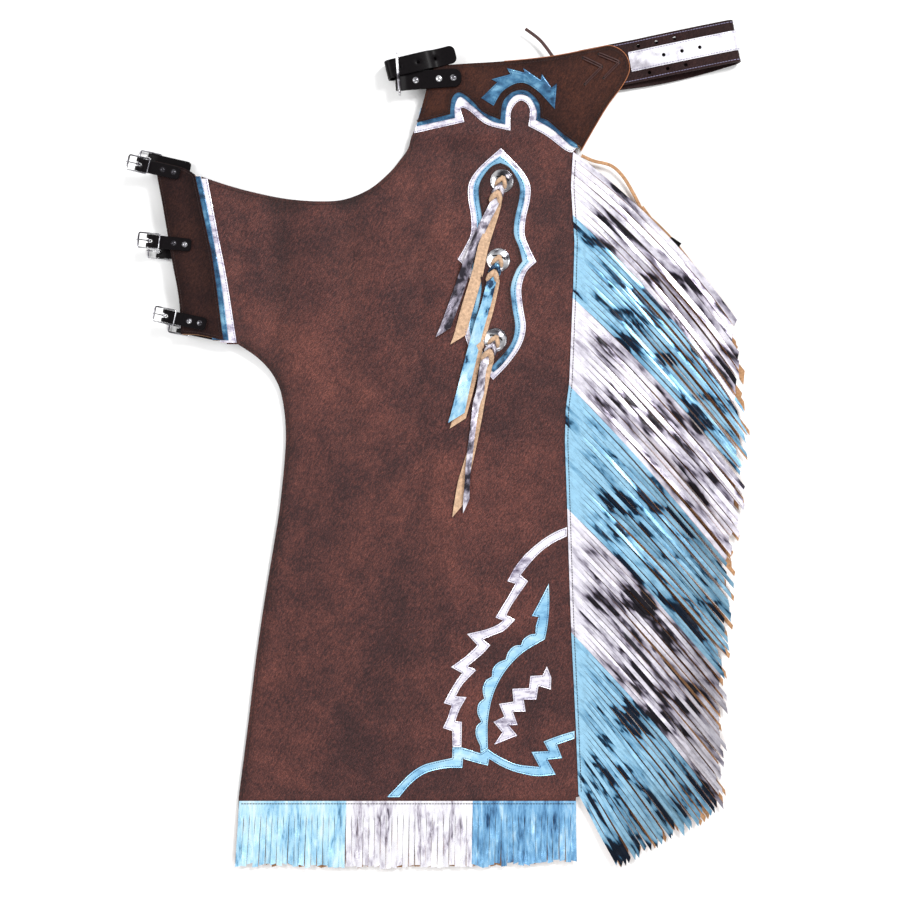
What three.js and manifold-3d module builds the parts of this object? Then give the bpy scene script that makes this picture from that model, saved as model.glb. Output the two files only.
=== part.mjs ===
// Rodeo chaps: a pair of fringed leather leggings on one belt, closed at the waist and folded flat,
// so that the far leg lies under the near one. Millimetres, +Z up, the floor at Z = 0.
import * as THREE from 'three';
import { mergeVertices } from 'three/addons/utils/BufferGeometryUtils.js';
import Module from 'manifold-3d';

const wasm = await Module();
wasm.setup();

// Driving sizes
const LEG_LENGTH = 915; // from the waist to the hem
const THIGH_WIDTH = 488; // from the thigh edge to the side seam
const PANEL_LEATHER = 1.8;
const TRIM_LEATHER = 1.0;
const OVERLAY_LEATHER = 1.6; // the yoke, the thigh tab and the top of the medallion
const FRINGE_LEATHER = 1.2;
const LAYER_GAP = 0.3;
const MEDALLION_REVEAL = 6.5; // how far each layer of the medallion shows past the next
const SEAM_ALLOWANCE = 15; // of the panel under the fringe headers
const HEADER_WIDTH = 16; // the uncut edge of the fringe
const SLIT_WIDTH = 0.7;
const STRAP_LEATHER = 1.6;
const STRAP_WIDTH = 15.4;
const STRAP_REACH = 51; // from the middle of a thigh buckle to the end of its strap
const STRAP_SLOT = 4; // the slot for the prong in the strap's fold
const RIVET_RADIUS = 2.6;
const RIVET_HEIGHT = 1;
const FIRST_RIVET = 30;
const SECOND_RIVET = 43.5;
const BUCKLE_LENGTH = 27.5;
const BUCKLE_WIDTH = 20;
const WIRE = 2;
const PRONG_WIDTH = 2.2;
const PRONG_THICKNESS = 1.4;
const PRONG_OVERHANG = 1.6;
const WAIST_STRAP_WIDTH = 22;
const WAIST_STRAP_LEATHER = 2;
const WAIST_BUCKLE_WIDTH = 51;
const WAIST_BUCKLE_HEIGHT = 30;
const WAIST_BUCKLE_WIRE = 3.2;
const BELT_WIDTH = 52;
const BELT_LEATHER = 3;
const BELT_LOOP = 11; // clear height inside the belt's fold
const BELT_STRIP_WIDTH = 24;
const BELT_STRIP_LEATHER = 0.8;
const BELT_HOLE_RADIUS = 2.3;
const LACE_WIDTH = 4;
const LACE_LEATHER = 1.4;
const CONCHO_RADIUS = 14.4;
const CONCHO_HEIGHT = 4;
const STRING_WIDTH = 6;
const STRING_LEATHER = 1.5;
const KNOT_RADIUS = 5;
const LEG_BILLET_WIDTH = 17;

// Levels of the leather over the surface between the two legs, from its own leather outwards
const PANEL_LOW = LAYER_GAP / 2;
const PANEL_TOP = PANEL_LOW + PANEL_LEATHER;
const SILVER_LOW = PANEL_TOP + LAYER_GAP;
const SILVER_TOP = SILVER_LOW + TRIM_LEATHER;
const BLUE_LOW = SILVER_TOP + LAYER_GAP;
const BLUE_TOP = BLUE_LOW + TRIM_LEATHER;
const OVERLAY_LOW = BLUE_TOP + LAYER_GAP;
const OVERLAY_TOP = OVERLAY_LOW + OVERLAY_LEATHER;
const FRINGE_TOP = SILVER_LOW + FRINGE_LEATHER;
const FOLD_GAP = LAYER_GAP; // between the strap's fold and the buckle's bar
const STRAP_TOP = OVERLAY_TOP + 2 * (LAYER_GAP + STRAP_LEATHER);
const BUCKLE_LEVEL = STRAP_TOP + LAYER_GAP + WIRE / 2;
const FOLD_RADIUS = WIRE * Math.SQRT1_2 + FOLD_GAP;
const BUCKLE_TOP = BUCKLE_LEVEL + FOLD_RADIUS + Math.max(STRAP_LEATHER, PRONG_THICKNESS);

// The surface between the legs: it rises from the fringe's level to clear the far buckles
const REST_LEVEL = FRINGE_TOP;
const TAB_LIFT = BUCKLE_TOP - REST_LEVEL;

// Outline tables. Columns: across (per cent of THIGH_WIDTH from the thigh edge),
// up (per cent of LEG_LENGTH from the hem) and S where the outline turns sharply.
const S = 'sharp';
const THIGH_EDGE = [
  [62.8, 91.7, S], [59.5, 88.7], [58.3, 86.7], [56.3, 85.2], [53.8, 83.6], [48.8, 81.4],
  [42.5, 80.0], [36.3, 79.7], [28.8, 80.0], [21.3, 80.7], [13.8, 81.7], [7.0, 82.9, S],
  [10.3, 71.7], [13.3, 60.7, S],
];
const INNER_EDGE = [
  [16.0, 60.7, S], [21.3, 58.7], [25.0, 56.3], [27.0, 53.3], [27.8, 48.0], [26.5, 40.0],
  [25.0, 34.7], [22.5, 26.7], [20.3, 18.7], [18.5, 10.7], [16.0, 0.4, S],
];
const HEM = [[16.0, 0.4, S], [31.3, 0.1], [56.3, -0.1], [74.5, 0.0], [86.3, 0.3], [100.8, 0.7, S]];
const SIDE_SEAM = [
  [100.8, 0.7, S], [100.1, 10.4], [99.0, 22.4], [98.5, 29.9], [97.9, 40.3], [97.4, 47.7],
  [97.6, 52.0], [98.5, 55.7], [99.5, 68.8], [99.8, 74.4], [98.9, 81.9], [99.4, 86.3, S],
];
const PANEL_TOP_EDGE = [[99.8, 89.6, S], [93.3, 94.4, S], [69.3, 95.2, S]];
const YOKE_TOP_EDGE = [
  [61.3, 91.3], [63.0, 94.7, S], [65.0, 97.6, S], [81.3, 98.2], [93.8, 98.9], [103.8, 99.9],
  [108.8, 100.3], [112.3, 99.2], [113.4, 97.2], [111.7, 95.1], [108.0, 92.4], [104.5, 89.3],
  [101.4, 86.4, S],
];
const YOKE_LOW_EDGE = [
  [101.3, 86.9, S], [96.8, 88.7], [93.3, 90.3], [91.3, 90.8, S], [90.8, 92.8], [88.0, 94.3],
  [84.8, 94.3], [82.0, 92.9], [81.3, 90.5, S], [77.0, 91.5], [74.0, 93.1], [71.0, 94.1],
  [69.2, 93.2], [68.8, 91.2, S], [60.5, 90.1, S],
];
const TRIM_TOP_EDGE = [[99.5, 89.4, S], [93.8, 95.5, S], [66.3, 94.9, S], [61.5, 92.0, S]];
const YOKE_BLUE_EDGE = [
  [60.4, 89.6, S], [70.0, 90.7, S], [70.0, 92.3], [71.3, 93.5], [74.3, 92.3], [78.8, 90.4],
  [82.5, 89.9, S], [83.0, 92.4], [85.3, 93.8], [88.5, 93.5], [90.3, 91.7], [90.1, 90.5, S],
  [94.3, 89.2], [98.8, 87.1], [100.6, 86.8, S],
];
const YOKE_SILVER_EDGE = [
  [59.8, 88.7, S], [72.3, 90.2, S], [71.5, 92.0], [73.5, 91.7], [77.8, 89.9], [83.8, 89.1, S],
  [84.0, 91.7], [86.3, 93.1], [88.6, 92.1], [88.3, 89.7, S], [92.8, 88.4], [97.5, 86.5],
  [99.2, 86.2, S], [100.4, 86.9, S],
];
const CREST = [
  [76.5, 93.3, S], [80.5, 95.4, S], [79.1, 95.8, S], [83.8, 96.5, S], [82.9, 97.3, S],
  [87.3, 96.7, S], [87.0, 97.3, S], [91.3, 95.7, S], [91.6, 96.5, S], [94.0, 94.7, S],
  [95.3, 95.3, S], [94.8, 91.9, S], [90.3, 94.4], [86.3, 95.4], [82.0, 94.3], [79.6, 92.3, S],
];
const TAB = [
  [-4.3, 84.9, S], [2.5, 84.0], [5.5, 83.1, S], [8.0, 76.7], [10.0, 71.3], [12.5, 61.2, S],
  [6.3, 61.9], [2.0, 62.0, S], [1.5, 66.7], [-0.3, 72.0], [-2.3, 78.4], [-3.8, 82.7],
];
const TAB_BLUE_EDGE = [[6.8, 82.9, S], [8.3, 79.3], [11.8, 69.3], [13.8, 61.2, S]];
const TAB_SILVER_EDGE = [[8.5, 82.6, S], [11.3, 74.7], [13.3, 69.3], [15.7, 60.9, S]];
const TAB_TRIM_LAP = 4; // how far the trims run under the tab, in the same per cent
// Columns: along the medallion, half its width (per cent of THIGH_WIDTH) and S as above
const MEDALLION = [
  [0.085, 5.1], [0.15, 7.5], [0.215, 7.7], [0.3, 6.8], [0.37, 6.7], [0.43, 8.1],
  [0.485, 9.8, S], [0.53, 7.4], [0.6, 6.3], [0.68, 6.8], [0.77, 7.7], [0.85, 6.6], [0.93, 3.6],
];
const TIP_SET_BACK = 1.4;
const CORNER_SET_BACK = 1.3;
const TIP_MARGIN = 0.02; // along the medallion
const MEDALLION_HEAD = [81.4, 86.8];
const MEDALLION_FOOT = [79.5, 56.0];
const CORNER_SILVER_FLAME = [
  [98.0, 36.4, S], [92.5, 35.0], [86.5, 32.0], [83.1, 29.1, S], [84.9, 28.6, S], [81.5, 25.7],
  [80.0, 24.4, S], [78.0, 22.9], [73.1, 22.1, S], [75.6, 20.5, S], [71.0, 18.6],
  [69.3, 17.7, S], [71.5, 16.9, S], [68.8, 14.7], [67.3, 12.8, S], [69.1, 12.6, S],
  [67.1, 9.5, S], [69.4, 9.3, S], [69.4, 6.9, S], [71.5, 6.7, S], [71.6, 10.5, S],
  [70.0, 10.6, S], [71.0, 12.0], [72.8, 13.7, S], [70.5, 13.8, S], [73.0, 16.0],
  [75.4, 17.3, S], [73.3, 17.9, S], [77.3, 19.6], [79.0, 20.6, S], [77.1, 21.6, S],
  [82.0, 22.5], [85.3, 24.0, S], [83.0, 24.8, S], [86.3, 27.7], [88.4, 29.1, S],
  [86.3, 29.8, S], [90.0, 32.3], [95.5, 34.4],
];
const CORNER_ARROW = [
  [93.5, 28.9, S], [91.5, 26.9], [89.3, 24.5, S], [91.1, 24.4, S], [90.1, 22.1, S],
  [88.0, 21.5], [86.3, 20.5, S], [84.0, 20.0], [82.8, 18.7, S], [80.4, 17.7], [79.3, 16.1, S],
  [77.2, 14.8], [77.5, 13.1, S], [75.8, 12.2], [76.8, 10.4, S], [75.6, 9.0], [76.4, 6.8, S],
  [78.3, 6.9, S], [78.3, 10.4], [79.8, 14.4], [83.0, 17.7], [88.8, 20.3], [91.5, 21.2, S],
  [92.5, 21.7, S], [93.0, 24.0], [93.5, 26.7],
];
const CORNER_BLUE_FLAME = [
  [53.0, 0.5, S], [56.8, 2.2], [64.3, 4.9], [69.5, 5.7], [76.4, 6.2], [81.8, 5.6],
  [87.0, 4.5], [91.0, 4.5, S], [89.0, 6.5, S], [93.8, 6.8, S], [92.0, 7.9, S], [99.8, 9.4, S],
  [99.8, 8.3, S], [95.3, 7.3, S], [96.8, 5.7, S], [93.0, 5.5, S], [95.1, 3.5, S],
  [88.8, 3.3], [82.5, 4.5], [78.4, 5.7, S], [78.3, 4.5, S], [75.8, 5.0], [71.5, 5.7, S],
  [71.9, 4.3, S], [65.8, 4.1], [57.8, 1.6], [56.0, 0.5, S],
];
const CORNER_BOLT = [
  [92.9, 17.9, S], [94.0, 16.4, S], [93.9, 14.8, S], [90.8, 15.3, S], [90.3, 13.5, S],
  [87.1, 13.5, S], [87.6, 11.9, S], [84.4, 11.9, S], [85.6, 10.1, S], [83.3, 10.1, S],
  [85.5, 8.7, S], [79.8, 7.5, S], [81.8, 9.1, S], [79.6, 10.5, S], [82.3, 11.2, S],
  [81.0, 12.9, S], [84.6, 13.2, S], [84.3, 14.9, S], [88.5, 15.0, S], [88.8, 16.6, S],
  [91.9, 16.7, S],
];
const CONCHOS = [[81.7, 82.4], [80.8, 71.9], [80.0, 61.3]]; // across, up
// The surface between the legs. Its rows follow FOLD_UPS and its columns FOLD_ACROSS.
const FOLD_ACROSS = [-20, 12.5, 18.0, 27.5, 36.3, 45.0, 53.8, 63.8, 71.0, 88.0, 98.0, 150];
const FOLD_UPS = [110, 89.0, 86.0, 79.3, 70.7, 60.7, 50.7, 37.3, 20.0, 4.0, -20];
const FOLD_LIFTS = [
  [0.60, 0.60, 0.60, 0.60, 0.60, 0.60, 0.60, 0.60, 0.60, 0.30, 0.30, 0.30],
  [1.00, 1.00, 0.80, 0.60, 0.60, 0.60, 0.60, 0.60, 0.60, 0.30, 0.30, 0.30],
  [1.00, 1.00, 0.75, 0.45, 0.45, 0.40, 0.40, 0.30, 0.00, 0.00, 0.30, 0.30],
  [1.00, 1.00, 0.70, 0.25, 0.45, 0.15, 0.30, 0.10, 0.00, 0.00, 0.00, 0.00],
  [1.00, 1.00, 0.65, 0.10, 0.40, 0.00, 0.25, 0.00, 0.00, 0.00, 0.00, 0.00],
  [1.00, 1.00, 0.60, 0.15, 0.30, 0.10, 0.20, 0.00, 0.00, 0.00, 0.00, 0.00],
  [0.30, 0.30, 0.20, 0.10, 0.25, 0.05, 0.10, 0.00, 0.00, 0.00, 0.00, 0.00],
  [0.00, 0.00, 0.00, 0.05, 0.15, 0.20, 0.10, 0.00, 0.00, 0.00, 0.00, 0.00],
  [0.00, 0.00, 0.00, 0.00, 0.15, 0.05, 0.00, 0.00, 0.00, 0.00, 0.00, 0.00],
  [0.00, 0.00, 0.00, 0.00, 0.00, 0.00, 0.00, 0.00, 0.00, 0.00, 0.00, 0.00],
  [0.00, 0.00, 0.00, 0.00, 0.00, 0.00, 0.00, 0.00, 0.00, 0.00, 0.00, 0.00],
];
// The fringe. Columns: root up, tip across, tip up, locks in the band that starts there and bow
const SIDE_FRINGE = [
  [85.6, 139.8, 64.3, 4, 1.9], [77.9, 141.3, 52.0, 5, 1.0], [66.9, 141.8, 42.8, 5, 0.6],
  [55.3, 138.3, 31.1, 7, 0.4], [38.9, 136.8, 16.3, 7, 0.4], [22.4, 136.3, -0.8, 9, 0.4],
  [0.9, 110.0, -8.5, 0, 0],
];
// Columns: root across, tip across, tip up and locks in the band that starts there
const HEM_FRINGE = [
  [16.2, 15.2, -8.5, 6], [42.9, 42.6, -8.8, 7], [74.4, 74.2, -8.7, 6], [100.2, 100.3, -7.9, 0],
];
// Columns: the middle of the buckle across and up, and the strap's turn in degrees
const THIGH_BUCKLES = [[-8.4, 84.4, -12.8], [-5.8, 74.3, -6], [-1.9, 64.4, -12]];
const FAR_SLIP = [[2.2, 0.9], [1.9, -1.2], [3.2, -1.3]]; // of the far buckles, across and up
// The strings of the conchos. Columns: across and up, from the knot to the tip
const STRINGS = [
  [[80.0, 79.9], [75.0, 74.0], [72.6, 69.6], [69.4, 65.3], [66.5, 61.0]],
  [[79.1, 69.3], [77.2, 65.4], [75.4, 62.0], [73.5, 58.3], [71.5, 54.0], [70.0, 50.6]],
  [[77.1, 57.4], [76.3, 53.2], [74.8, 48.0], [73.4, 43.7], [72.8, 38.8]],
];
const LEG_BILLET = [[105.6, 83.9], [110.8, 81.6], [115.6, 78.6], [120.2, 75.5], [125.5, 73.4]];
const LACE_TAIL = [[87.5, 102.6], [91.5, 100.9], [95.5, 98.0]];
const BELT_START = [101.5, 96.9]; // the middle of the belt's hidden end, across and up
const BELT_END = [140.2, 101.0];
const WAIST_STRAP_END = [71.6, 96.0];
const WAIST_TURN = 4; // degrees
const WAIST_STRAP_LENGTH = 76; // from its round end to the buckle's bar
const WAIST_BILLET_TURN = 14;
const SMOOTH_STEPS = 2;
const SEAM_CLEARANCE = 0.6; // from the side seam to the fringe, in the same per cent
const HEM_CLEARANCE = -0.5;
const STRING_LEAVES = [2, 3, 0]; // the last row of each string that still lies on the medallion
const YOKE_LACES = [
  [[101.8, 98.7], [106.5, 97.5], [102.3, 95.2]], [[105.8, 99.2], [110.8, 98.1], [107.0, 96.0]],
];
// Columns: along the belt and the rise of its near half, as shares
const BELT_RISE = [[0.8, 0.93], [0.66, 0.75], [0.5, 0.4], [0.38, 0], [0, 0]];
const STRIP_FROM = 6; // the point of the belt's fold where its silver strip starts
// Columns: along the belt and aside, as shares of its length and its width
const BELT_HOLES = [
  [0.43, 0], [0.55, 0], [0.67, 0], [0.79, 0], [0.4, 0.33], [0.52, 0.33], [0.64, 0.33],
  [0.44, -0.33], [0.56, -0.33], [0.68, -0.33],
];
const WAIST_RIVETS = [0.27, 0.64, 0.87];
const WAIST_FRAME_SHIFT = 7;
const WAIST_BILLET_ASIDE = 17; // of its middle from the middle of the near strap, at the buckle
const WAIST_BILLET_LENGTH = 72;
const BILLET_BEND = 5;

const materials = {
  brown: new THREE.MeshStandardMaterial({ color: 0x6b3a2a, roughness: 0.7 }),
  overlay: new THREE.MeshStandardMaterial({ color: 0x7a4632, roughness: 0.65 }),
  blue: new THREE.MeshStandardMaterial({ color: 0x7fa9cf, roughness: 0.35, metalness: 0.6 }),
  silver: new THREE.MeshStandardMaterial({ color: 0xb9b5c4, roughness: 0.35, metalness: 0.6 }),
  strap: new THREE.MeshStandardMaterial({ color: 0x2a201d, roughness: 0.6 }),
  tan: new THREE.MeshStandardMaterial({ color: 0xb48a5c, roughness: 0.8 }),
  steel: new THREE.MeshStandardMaterial({ color: 0xc6c8cc, roughness: 0.25, metalness: 1 }),
};

const chaps = new THREE.Group();

// Solids and meshes
function solidOf(geometry) {
  geometry.deleteAttribute('normal');
  geometry.deleteAttribute('uv');
  const merged = mergeVertices(geometry, 1e-4);
  return new wasm.Manifold(new wasm.Mesh({
    numProp: 3,
    vertProperties: new Float32Array(merged.attributes.position.array),
    triVerts: new Uint32Array(merged.index.array),
  }));
}

function add(name, solid, material) {
  const mesh = solid.getMesh();
  const geometry = new THREE.BufferGeometry();
  geometry.setAttribute('position', new THREE.BufferAttribute(mesh.vertProperties, 3));
  geometry.setIndex(new THREE.BufferAttribute(mesh.triVerts, 1));
  const node = new THREE.Mesh(geometry, material);
  node.name = name;
  chaps.add(node);
  return node;
}

// Outlines: a place in the tables as millimetres, and a smooth line through the rows of a table
const place = (across, up) => new THREE.Vector2(across / 100 * THIGH_WIDTH, up / 100 * LEG_LENGTH);

function smooth(rows, closed = true, steps = SMOOTH_STEPS) {
  const count = rows.length;
  const points = rows.map(([across, up]) => place(across, up));
  const line = [];
  for (let i = 0; i < (closed ? count : count - 1); i++) {
    const here = points[i];
    const next = points[(i + 1) % count];
    const sharpHere = rows[i][2] === S || (!closed && i === 0);
    const sharpNext = rows[(i + 1) % count][2] === S || (!closed && i === count - 2);
    const before = sharpHere ? here : points[(i + count - 1) % count];
    const after = sharpNext ? next : points[(i + 2) % count];
    const curve = new THREE.SplineCurve([before, here, next, after]);
    const pieces = sharpHere && sharpNext ? 1 : steps;
    for (let k = 0; k < pieces; k++) line.push(curve.getPoint((1 + k / pieces) / 3));
  }
  if (!closed) line.push(points[count - 1]);
  return line;
}

const shifted = (rows, across, up) => rows.map((row) => [row[0] + across, row[1] + up, row[2]]);

function prism(points, low, high) {
  const settings = { depth: high - low, bevelEnabled: false };
  const geometry = new THREE.ExtrudeGeometry(new THREE.Shape(points), settings);
  geometry.translate(0, 0, low);
  return solidOf(geometry);
}

// The surface between the legs and the leather that follows it
function levelAt(point) {
  const across = point.x / THIGH_WIDTH * 100;
  const up = point.y / LEG_LENGTH * 100;
  let column = FOLD_ACROSS.findIndex((value, i) => i > 0 && across <= value) - 1;
  let row = FOLD_UPS.findIndex((value, i) => i > 0 && up >= value) - 1;
  column = column < 0 ? FOLD_ACROSS.length - 2 : column;
  row = row < 0 ? FOLD_UPS.length - 2 : row;
  const s = (across - FOLD_ACROSS[column]) / (FOLD_ACROSS[column + 1] - FOLD_ACROSS[column]);
  const t = (up - FOLD_UPS[row]) / (FOLD_UPS[row + 1] - FOLD_UPS[row]);
  const low = FOLD_LIFTS[row];
  const high = FOLD_LIFTS[row + 1];
  const lift = s + t <= 1
    ? low[column] + s * (low[column + 1] - low[column]) + t * (high[column] - low[column])
    : high[column + 1] + (1 - s) * (high[column] - high[column + 1])
      + (1 - t) * (low[column + 1] - high[column + 1]);
  return REST_LEVEL + lift * TAB_LIFT;
}

function layerSolid(low, high) {
  const columns = FOLD_ACROSS.length;
  const rows = FOLD_UPS.length;
  const vertices = [];
  for (const offset of [low, high]) {
    FOLD_UPS.forEach((up, row) => FOLD_ACROSS.forEach((across, column) => {
      const spot = place(across, up);
      vertices.push(spot.x, spot.y, REST_LEVEL + FOLD_LIFTS[row][column] * TAB_LIFT + offset);
    }));
  }
  const top = rows * columns;
  const faces = [];
  const at = (row, column) => row * columns + column;
  const quad = (a, b, c, d) => faces.push(a, b, c, a, c, d);
  for (let row = 0; row < rows - 1; row++) {
    for (let column = 0; column < columns - 1; column++) {
      const [a, b] = [at(row, column), at(row, column + 1)];
      const [c, d] = [at(row + 1, column), at(row + 1, column + 1)];
      faces.push(top + a, top + c, top + b, top + b, top + c, top + d);
      faces.push(a, b, c, b, d, c);
    }
  }
  for (let column = 0; column < columns - 1; column++) {
    const [a, b] = [at(0, column), at(0, column + 1)];
    const [c, d] = [at(rows - 1, column), at(rows - 1, column + 1)];
    quad(a, top + a, top + b, b);
    quad(c, d, top + d, top + c);
  }
  for (let row = 0; row < rows - 1; row++) {
    const [a, b] = [at(row, 0), at(row + 1, 0)];
    const [c, d] = [at(row, columns - 1), at(row + 1, columns - 1)];
    quad(a, b, top + b, top + a);
    quad(c, top + c, top + d, d);
  }
  return new wasm.Manifold(new wasm.Mesh({
    numProp: 3, vertProperties: new Float32Array(vertices), triVerts: new Uint32Array(faces),
  }));
}

// A flat piece of leather between two levels: side is 1 on the near leg and -1 on the far leg
const CLEAR_OF_ALL = 200;
function leather(points, low, high, side = 1) {
  const layer = side > 0 ? layerSolid(low, high) : layerSolid(-high, -low);
  return prism(points, -CLEAR_OF_ALL, CLEAR_OF_ALL).intersect(layer);
}

// The leather of one leg: the panel, the yoke and the thigh tab with their trims
const allowance = (row) => [row[0] + SEAM_ALLOWANCE / THIGH_WIDTH * 100, row[1], row[2]];
const hemAllowance = (row) => [row[0], row[1] - SEAM_ALLOWANCE / LEG_LENGTH * 100, row[2]];
const hemRows = HEM.map(hemAllowance);
hemRows[hemRows.length - 1] = allowance(hemRows[hemRows.length - 1]);
const panelOutline = smooth([
  ...THIGH_EDGE, ...INNER_EDGE.slice(0, -1), ...hemRows, ...SIDE_SEAM.slice(1).map(allowance),
  ...PANEL_TOP_EDGE,
]);
const yokeOutline = smooth([...YOKE_TOP_EDGE, ...YOKE_LOW_EDGE]);
const yokeTrim = (edge) => smooth([...TRIM_TOP_EDGE, ...edge]);
const tabTrim = (edge) => smooth([...edge, ...shifted(edge, -TAB_TRIM_LAP, 0).reverse()]);

for (const [leg, side] of [['near', 1], ['far', -1]]) {
  const piece = (name, points, low, high, material) => (
    add(`${leg}_${name}`, leather(points, low, high, side), material));
  piece('leg_panel', panelOutline, PANEL_LOW, PANEL_TOP, materials.brown);
  piece('yoke_silver_trim', yokeTrim(YOKE_SILVER_EDGE), SILVER_LOW, SILVER_TOP, materials.silver);
  piece('yoke_blue_trim', yokeTrim(YOKE_BLUE_EDGE), BLUE_LOW, BLUE_TOP, materials.blue);
  piece('yoke', yokeOutline, OVERLAY_LOW, OVERLAY_TOP, materials.overlay);
  piece('tab_silver_trim', tabTrim(TAB_SILVER_EDGE), SILVER_LOW, SILVER_TOP, materials.silver);
  piece('tab_blue_trim', tabTrim(TAB_BLUE_EDGE), BLUE_LOW, BLUE_TOP, materials.blue);
  piece('thigh_tab', smooth(TAB), OVERLAY_LOW, OVERLAY_TOP, materials.overlay);
}

// The medallion: three layers, each set back from the one under it. A set back point moves in
// by more at a tip or a corner than along a smooth edge.
function medallionOutline(setBack) {
  const head = place(...MEDALLION_HEAD);
  const axis = place(...MEDALLION_FOOT).sub(head);
  const across = new THREE.Vector2(-axis.y, axis.x).normalize();
  const tip = setBack * TIP_SET_BACK / axis.length();
  const rows = MEDALLION.filter(([along]) => Math.abs(along - 0.5) < 0.5 - tip - TIP_MARGIN);
  const spotAt = (along, out) => {
    const spot = head.clone().addScaledVector(axis, along).addScaledVector(across, out);
    return [spot.x / THIGH_WIDTH * 100, spot.y / LEG_LENGTH * 100];
  };
  const rim = (side) => rows.map(([along, half, turn]) => {
    const moved = setBack * (turn ? CORNER_SET_BACK : 1);
    return [...spotAt(along, side * (half / 100 * THIGH_WIDTH - moved)), turn];
  });
  return smooth([[...spotAt(tip, 0), S], ...rim(-1), [...spotAt(1 - tip, 0), S], ...rim(1).reverse()]);
}

const medallion = [
  ['medallion_silver', SILVER_LOW, SILVER_TOP, materials.silver],
  ['medallion_blue', BLUE_LOW, BLUE_TOP, materials.blue],
  ['medallion_overlay', OVERLAY_LOW, OVERLAY_TOP, materials.overlay],
];
medallion.forEach(([name, low, high, material], layer) => {
  add(name, leather(medallionOutline(layer * MEDALLION_REVEAL), low, high), material);
});

// The cut-out ornaments of the yoke and of the hem's corner
const CREST_LOW = OVERLAY_TOP + LAYER_GAP;
add('yoke_crest', leather(smooth(CREST), CREST_LOW, CREST_LOW + TRIM_LEATHER), materials.blue);
for (const [name, rows, material] of [
  ['corner_silver_flame', CORNER_SILVER_FLAME, materials.silver],
  ['corner_arrow', CORNER_ARROW, materials.blue],
  ['corner_blue_flame', CORNER_BLUE_FLAME, materials.blue],
  ['corner_bolt', CORNER_BOLT, materials.silver],
]) {
  add(name, leather(smooth(rows), SILVER_LOW, SILVER_TOP), material);
}

// The fringe: bands of locks, cut apart down to the header. root, tip and bow give, for a share
// of the band, where a cut starts and ends and how far its middle lies to the left of straight.
function fringeOutline(root, tip, bow, locks) {
  const line = [root(1), root(0)];
  const cut = (share, shift) => {
    const from = root(share);
    const along = tip(share).sub(from);
    const direction = along.clone().normalize();
    const left = new THREE.Vector2(-direction.y, direction.x);
    const start = from.clone().addScaledVector(left, shift);
    return {
      head: start.clone().addScaledVector(direction, HEADER_WIDTH),
      middle: start.clone().addScaledVector(along, 0.5).addScaledVector(left, bow(share)),
      end: start.clone().add(along),
    };
  };
  const across = root(1).sub(root(0));
  const turn = Math.sign(across.cross(tip(0).sub(root(0))));
  for (let lock = 0; lock < locks; lock++) {
    const first = cut(lock / locks, lock > 0 ? -turn * SLIT_WIDTH / 2 : 0);
    const last = cut((lock + 1) / locks, lock < locks - 1 ? turn * SLIT_WIDTH / 2 : 0);
    if (lock > 0) line.push(first.head);
    line.push(first.middle, first.end, last.end, last.middle);
    if (lock < locks - 1) line.push(last.head);
  }
  return line;
}

const mix = (from, to, share) => from + (to - from) * share;
function seamAt(up) {
  const row = SIDE_SEAM.findIndex((spot, i) => i > 0 && up <= spot[1]);
  const [low, high] = row > 0 ? [SIDE_SEAM[row - 1], SIDE_SEAM[row]] : [SIDE_SEAM[0], SIDE_SEAM[1]];
  return mix(low[0], high[0], (up - low[1]) / (high[1] - low[1]));
}
const BAND_GAP = 0.05; // between two bands, in the same per cent
function sideBand(first, last) {
  const root = (share) => {
    const up = mix(first[0] - BAND_GAP, last[0] + BAND_GAP, share);
    return place(seamAt(up) + SEAM_CLEARANCE, up);
  };
  const tip = (share) => (
    place(mix(first[1], last[1], share), mix(first[2] - BAND_GAP, last[2] + BAND_GAP, share)));
  const bow = (share) => mix(first[4], last[4], share) / 100 * LEG_LENGTH;
  return fringeOutline(root, tip, bow, first[3]);
}
function hemBand(first, last) {
  const root = (share) => place(mix(first[0] + BAND_GAP, last[0] - BAND_GAP, share), HEM_CLEARANCE);
  const tip = (share) => (
    place(mix(first[1] + BAND_GAP, last[1] - BAND_GAP, share), mix(first[2], last[2], share)));
  return fringeOutline(root, tip, () => 0, first[3]);
}

const bandColour = (band) => (band % 2 ? materials.blue : materials.silver);
for (let band = 0; band < SIDE_FRINGE.length - 1; band++) {
  const outline = sideBand(SIDE_FRINGE[band], SIDE_FRINGE[band + 1]);
  add(`near_side_fringe_${band + 1}`, leather(outline, SILVER_LOW, FRINGE_TOP), bandColour(band));
}
for (let band = 0; band < HEM_FRINGE.length - 1; band++) {
  const outline = hemBand(HEM_FRINGE[band], HEM_FRINGE[band + 1]);
  add(`near_hem_fringe_${band + 1}`, leather(outline, SILVER_LOW, FRINGE_TOP), bandColour(band + 1));
}

// The far leg's fringe shows only at its tips: each side is one piece on its own header
function farFringe(name, table, bandOutline, headerRoots) {
  const coarse = table.map((row) => row.with(3, Math.ceil(row[3] / 2)));
  const outlines = coarse.slice(1).map((last, band) => bandOutline(coarse[band], last));
  const header = [...headerRoots(0), ...headerRoots(HEADER_WIDTH / 2).reverse()];
  const solids = [...outlines, header].map((outline) => leather(outline, SILVER_LOW, FRINGE_TOP, -1));
  return add(name, wasm.Manifold.union(solids), materials.blue);
}
farFringe('far_side_fringe', SIDE_FRINGE, sideBand, (width) => SIDE_FRINGE.map(([up]) => (
  place(seamAt(up) + SEAM_CLEARANCE, up).add(new THREE.Vector2(width, 0)))));
farFringe('far_hem_fringe', HEM_FRINGE, hemBand, (width) => HEM_FRINGE.map(([across]) => (
  place(across, HEM_CLEARANCE).sub(new THREE.Vector2(0, width)))));

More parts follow.
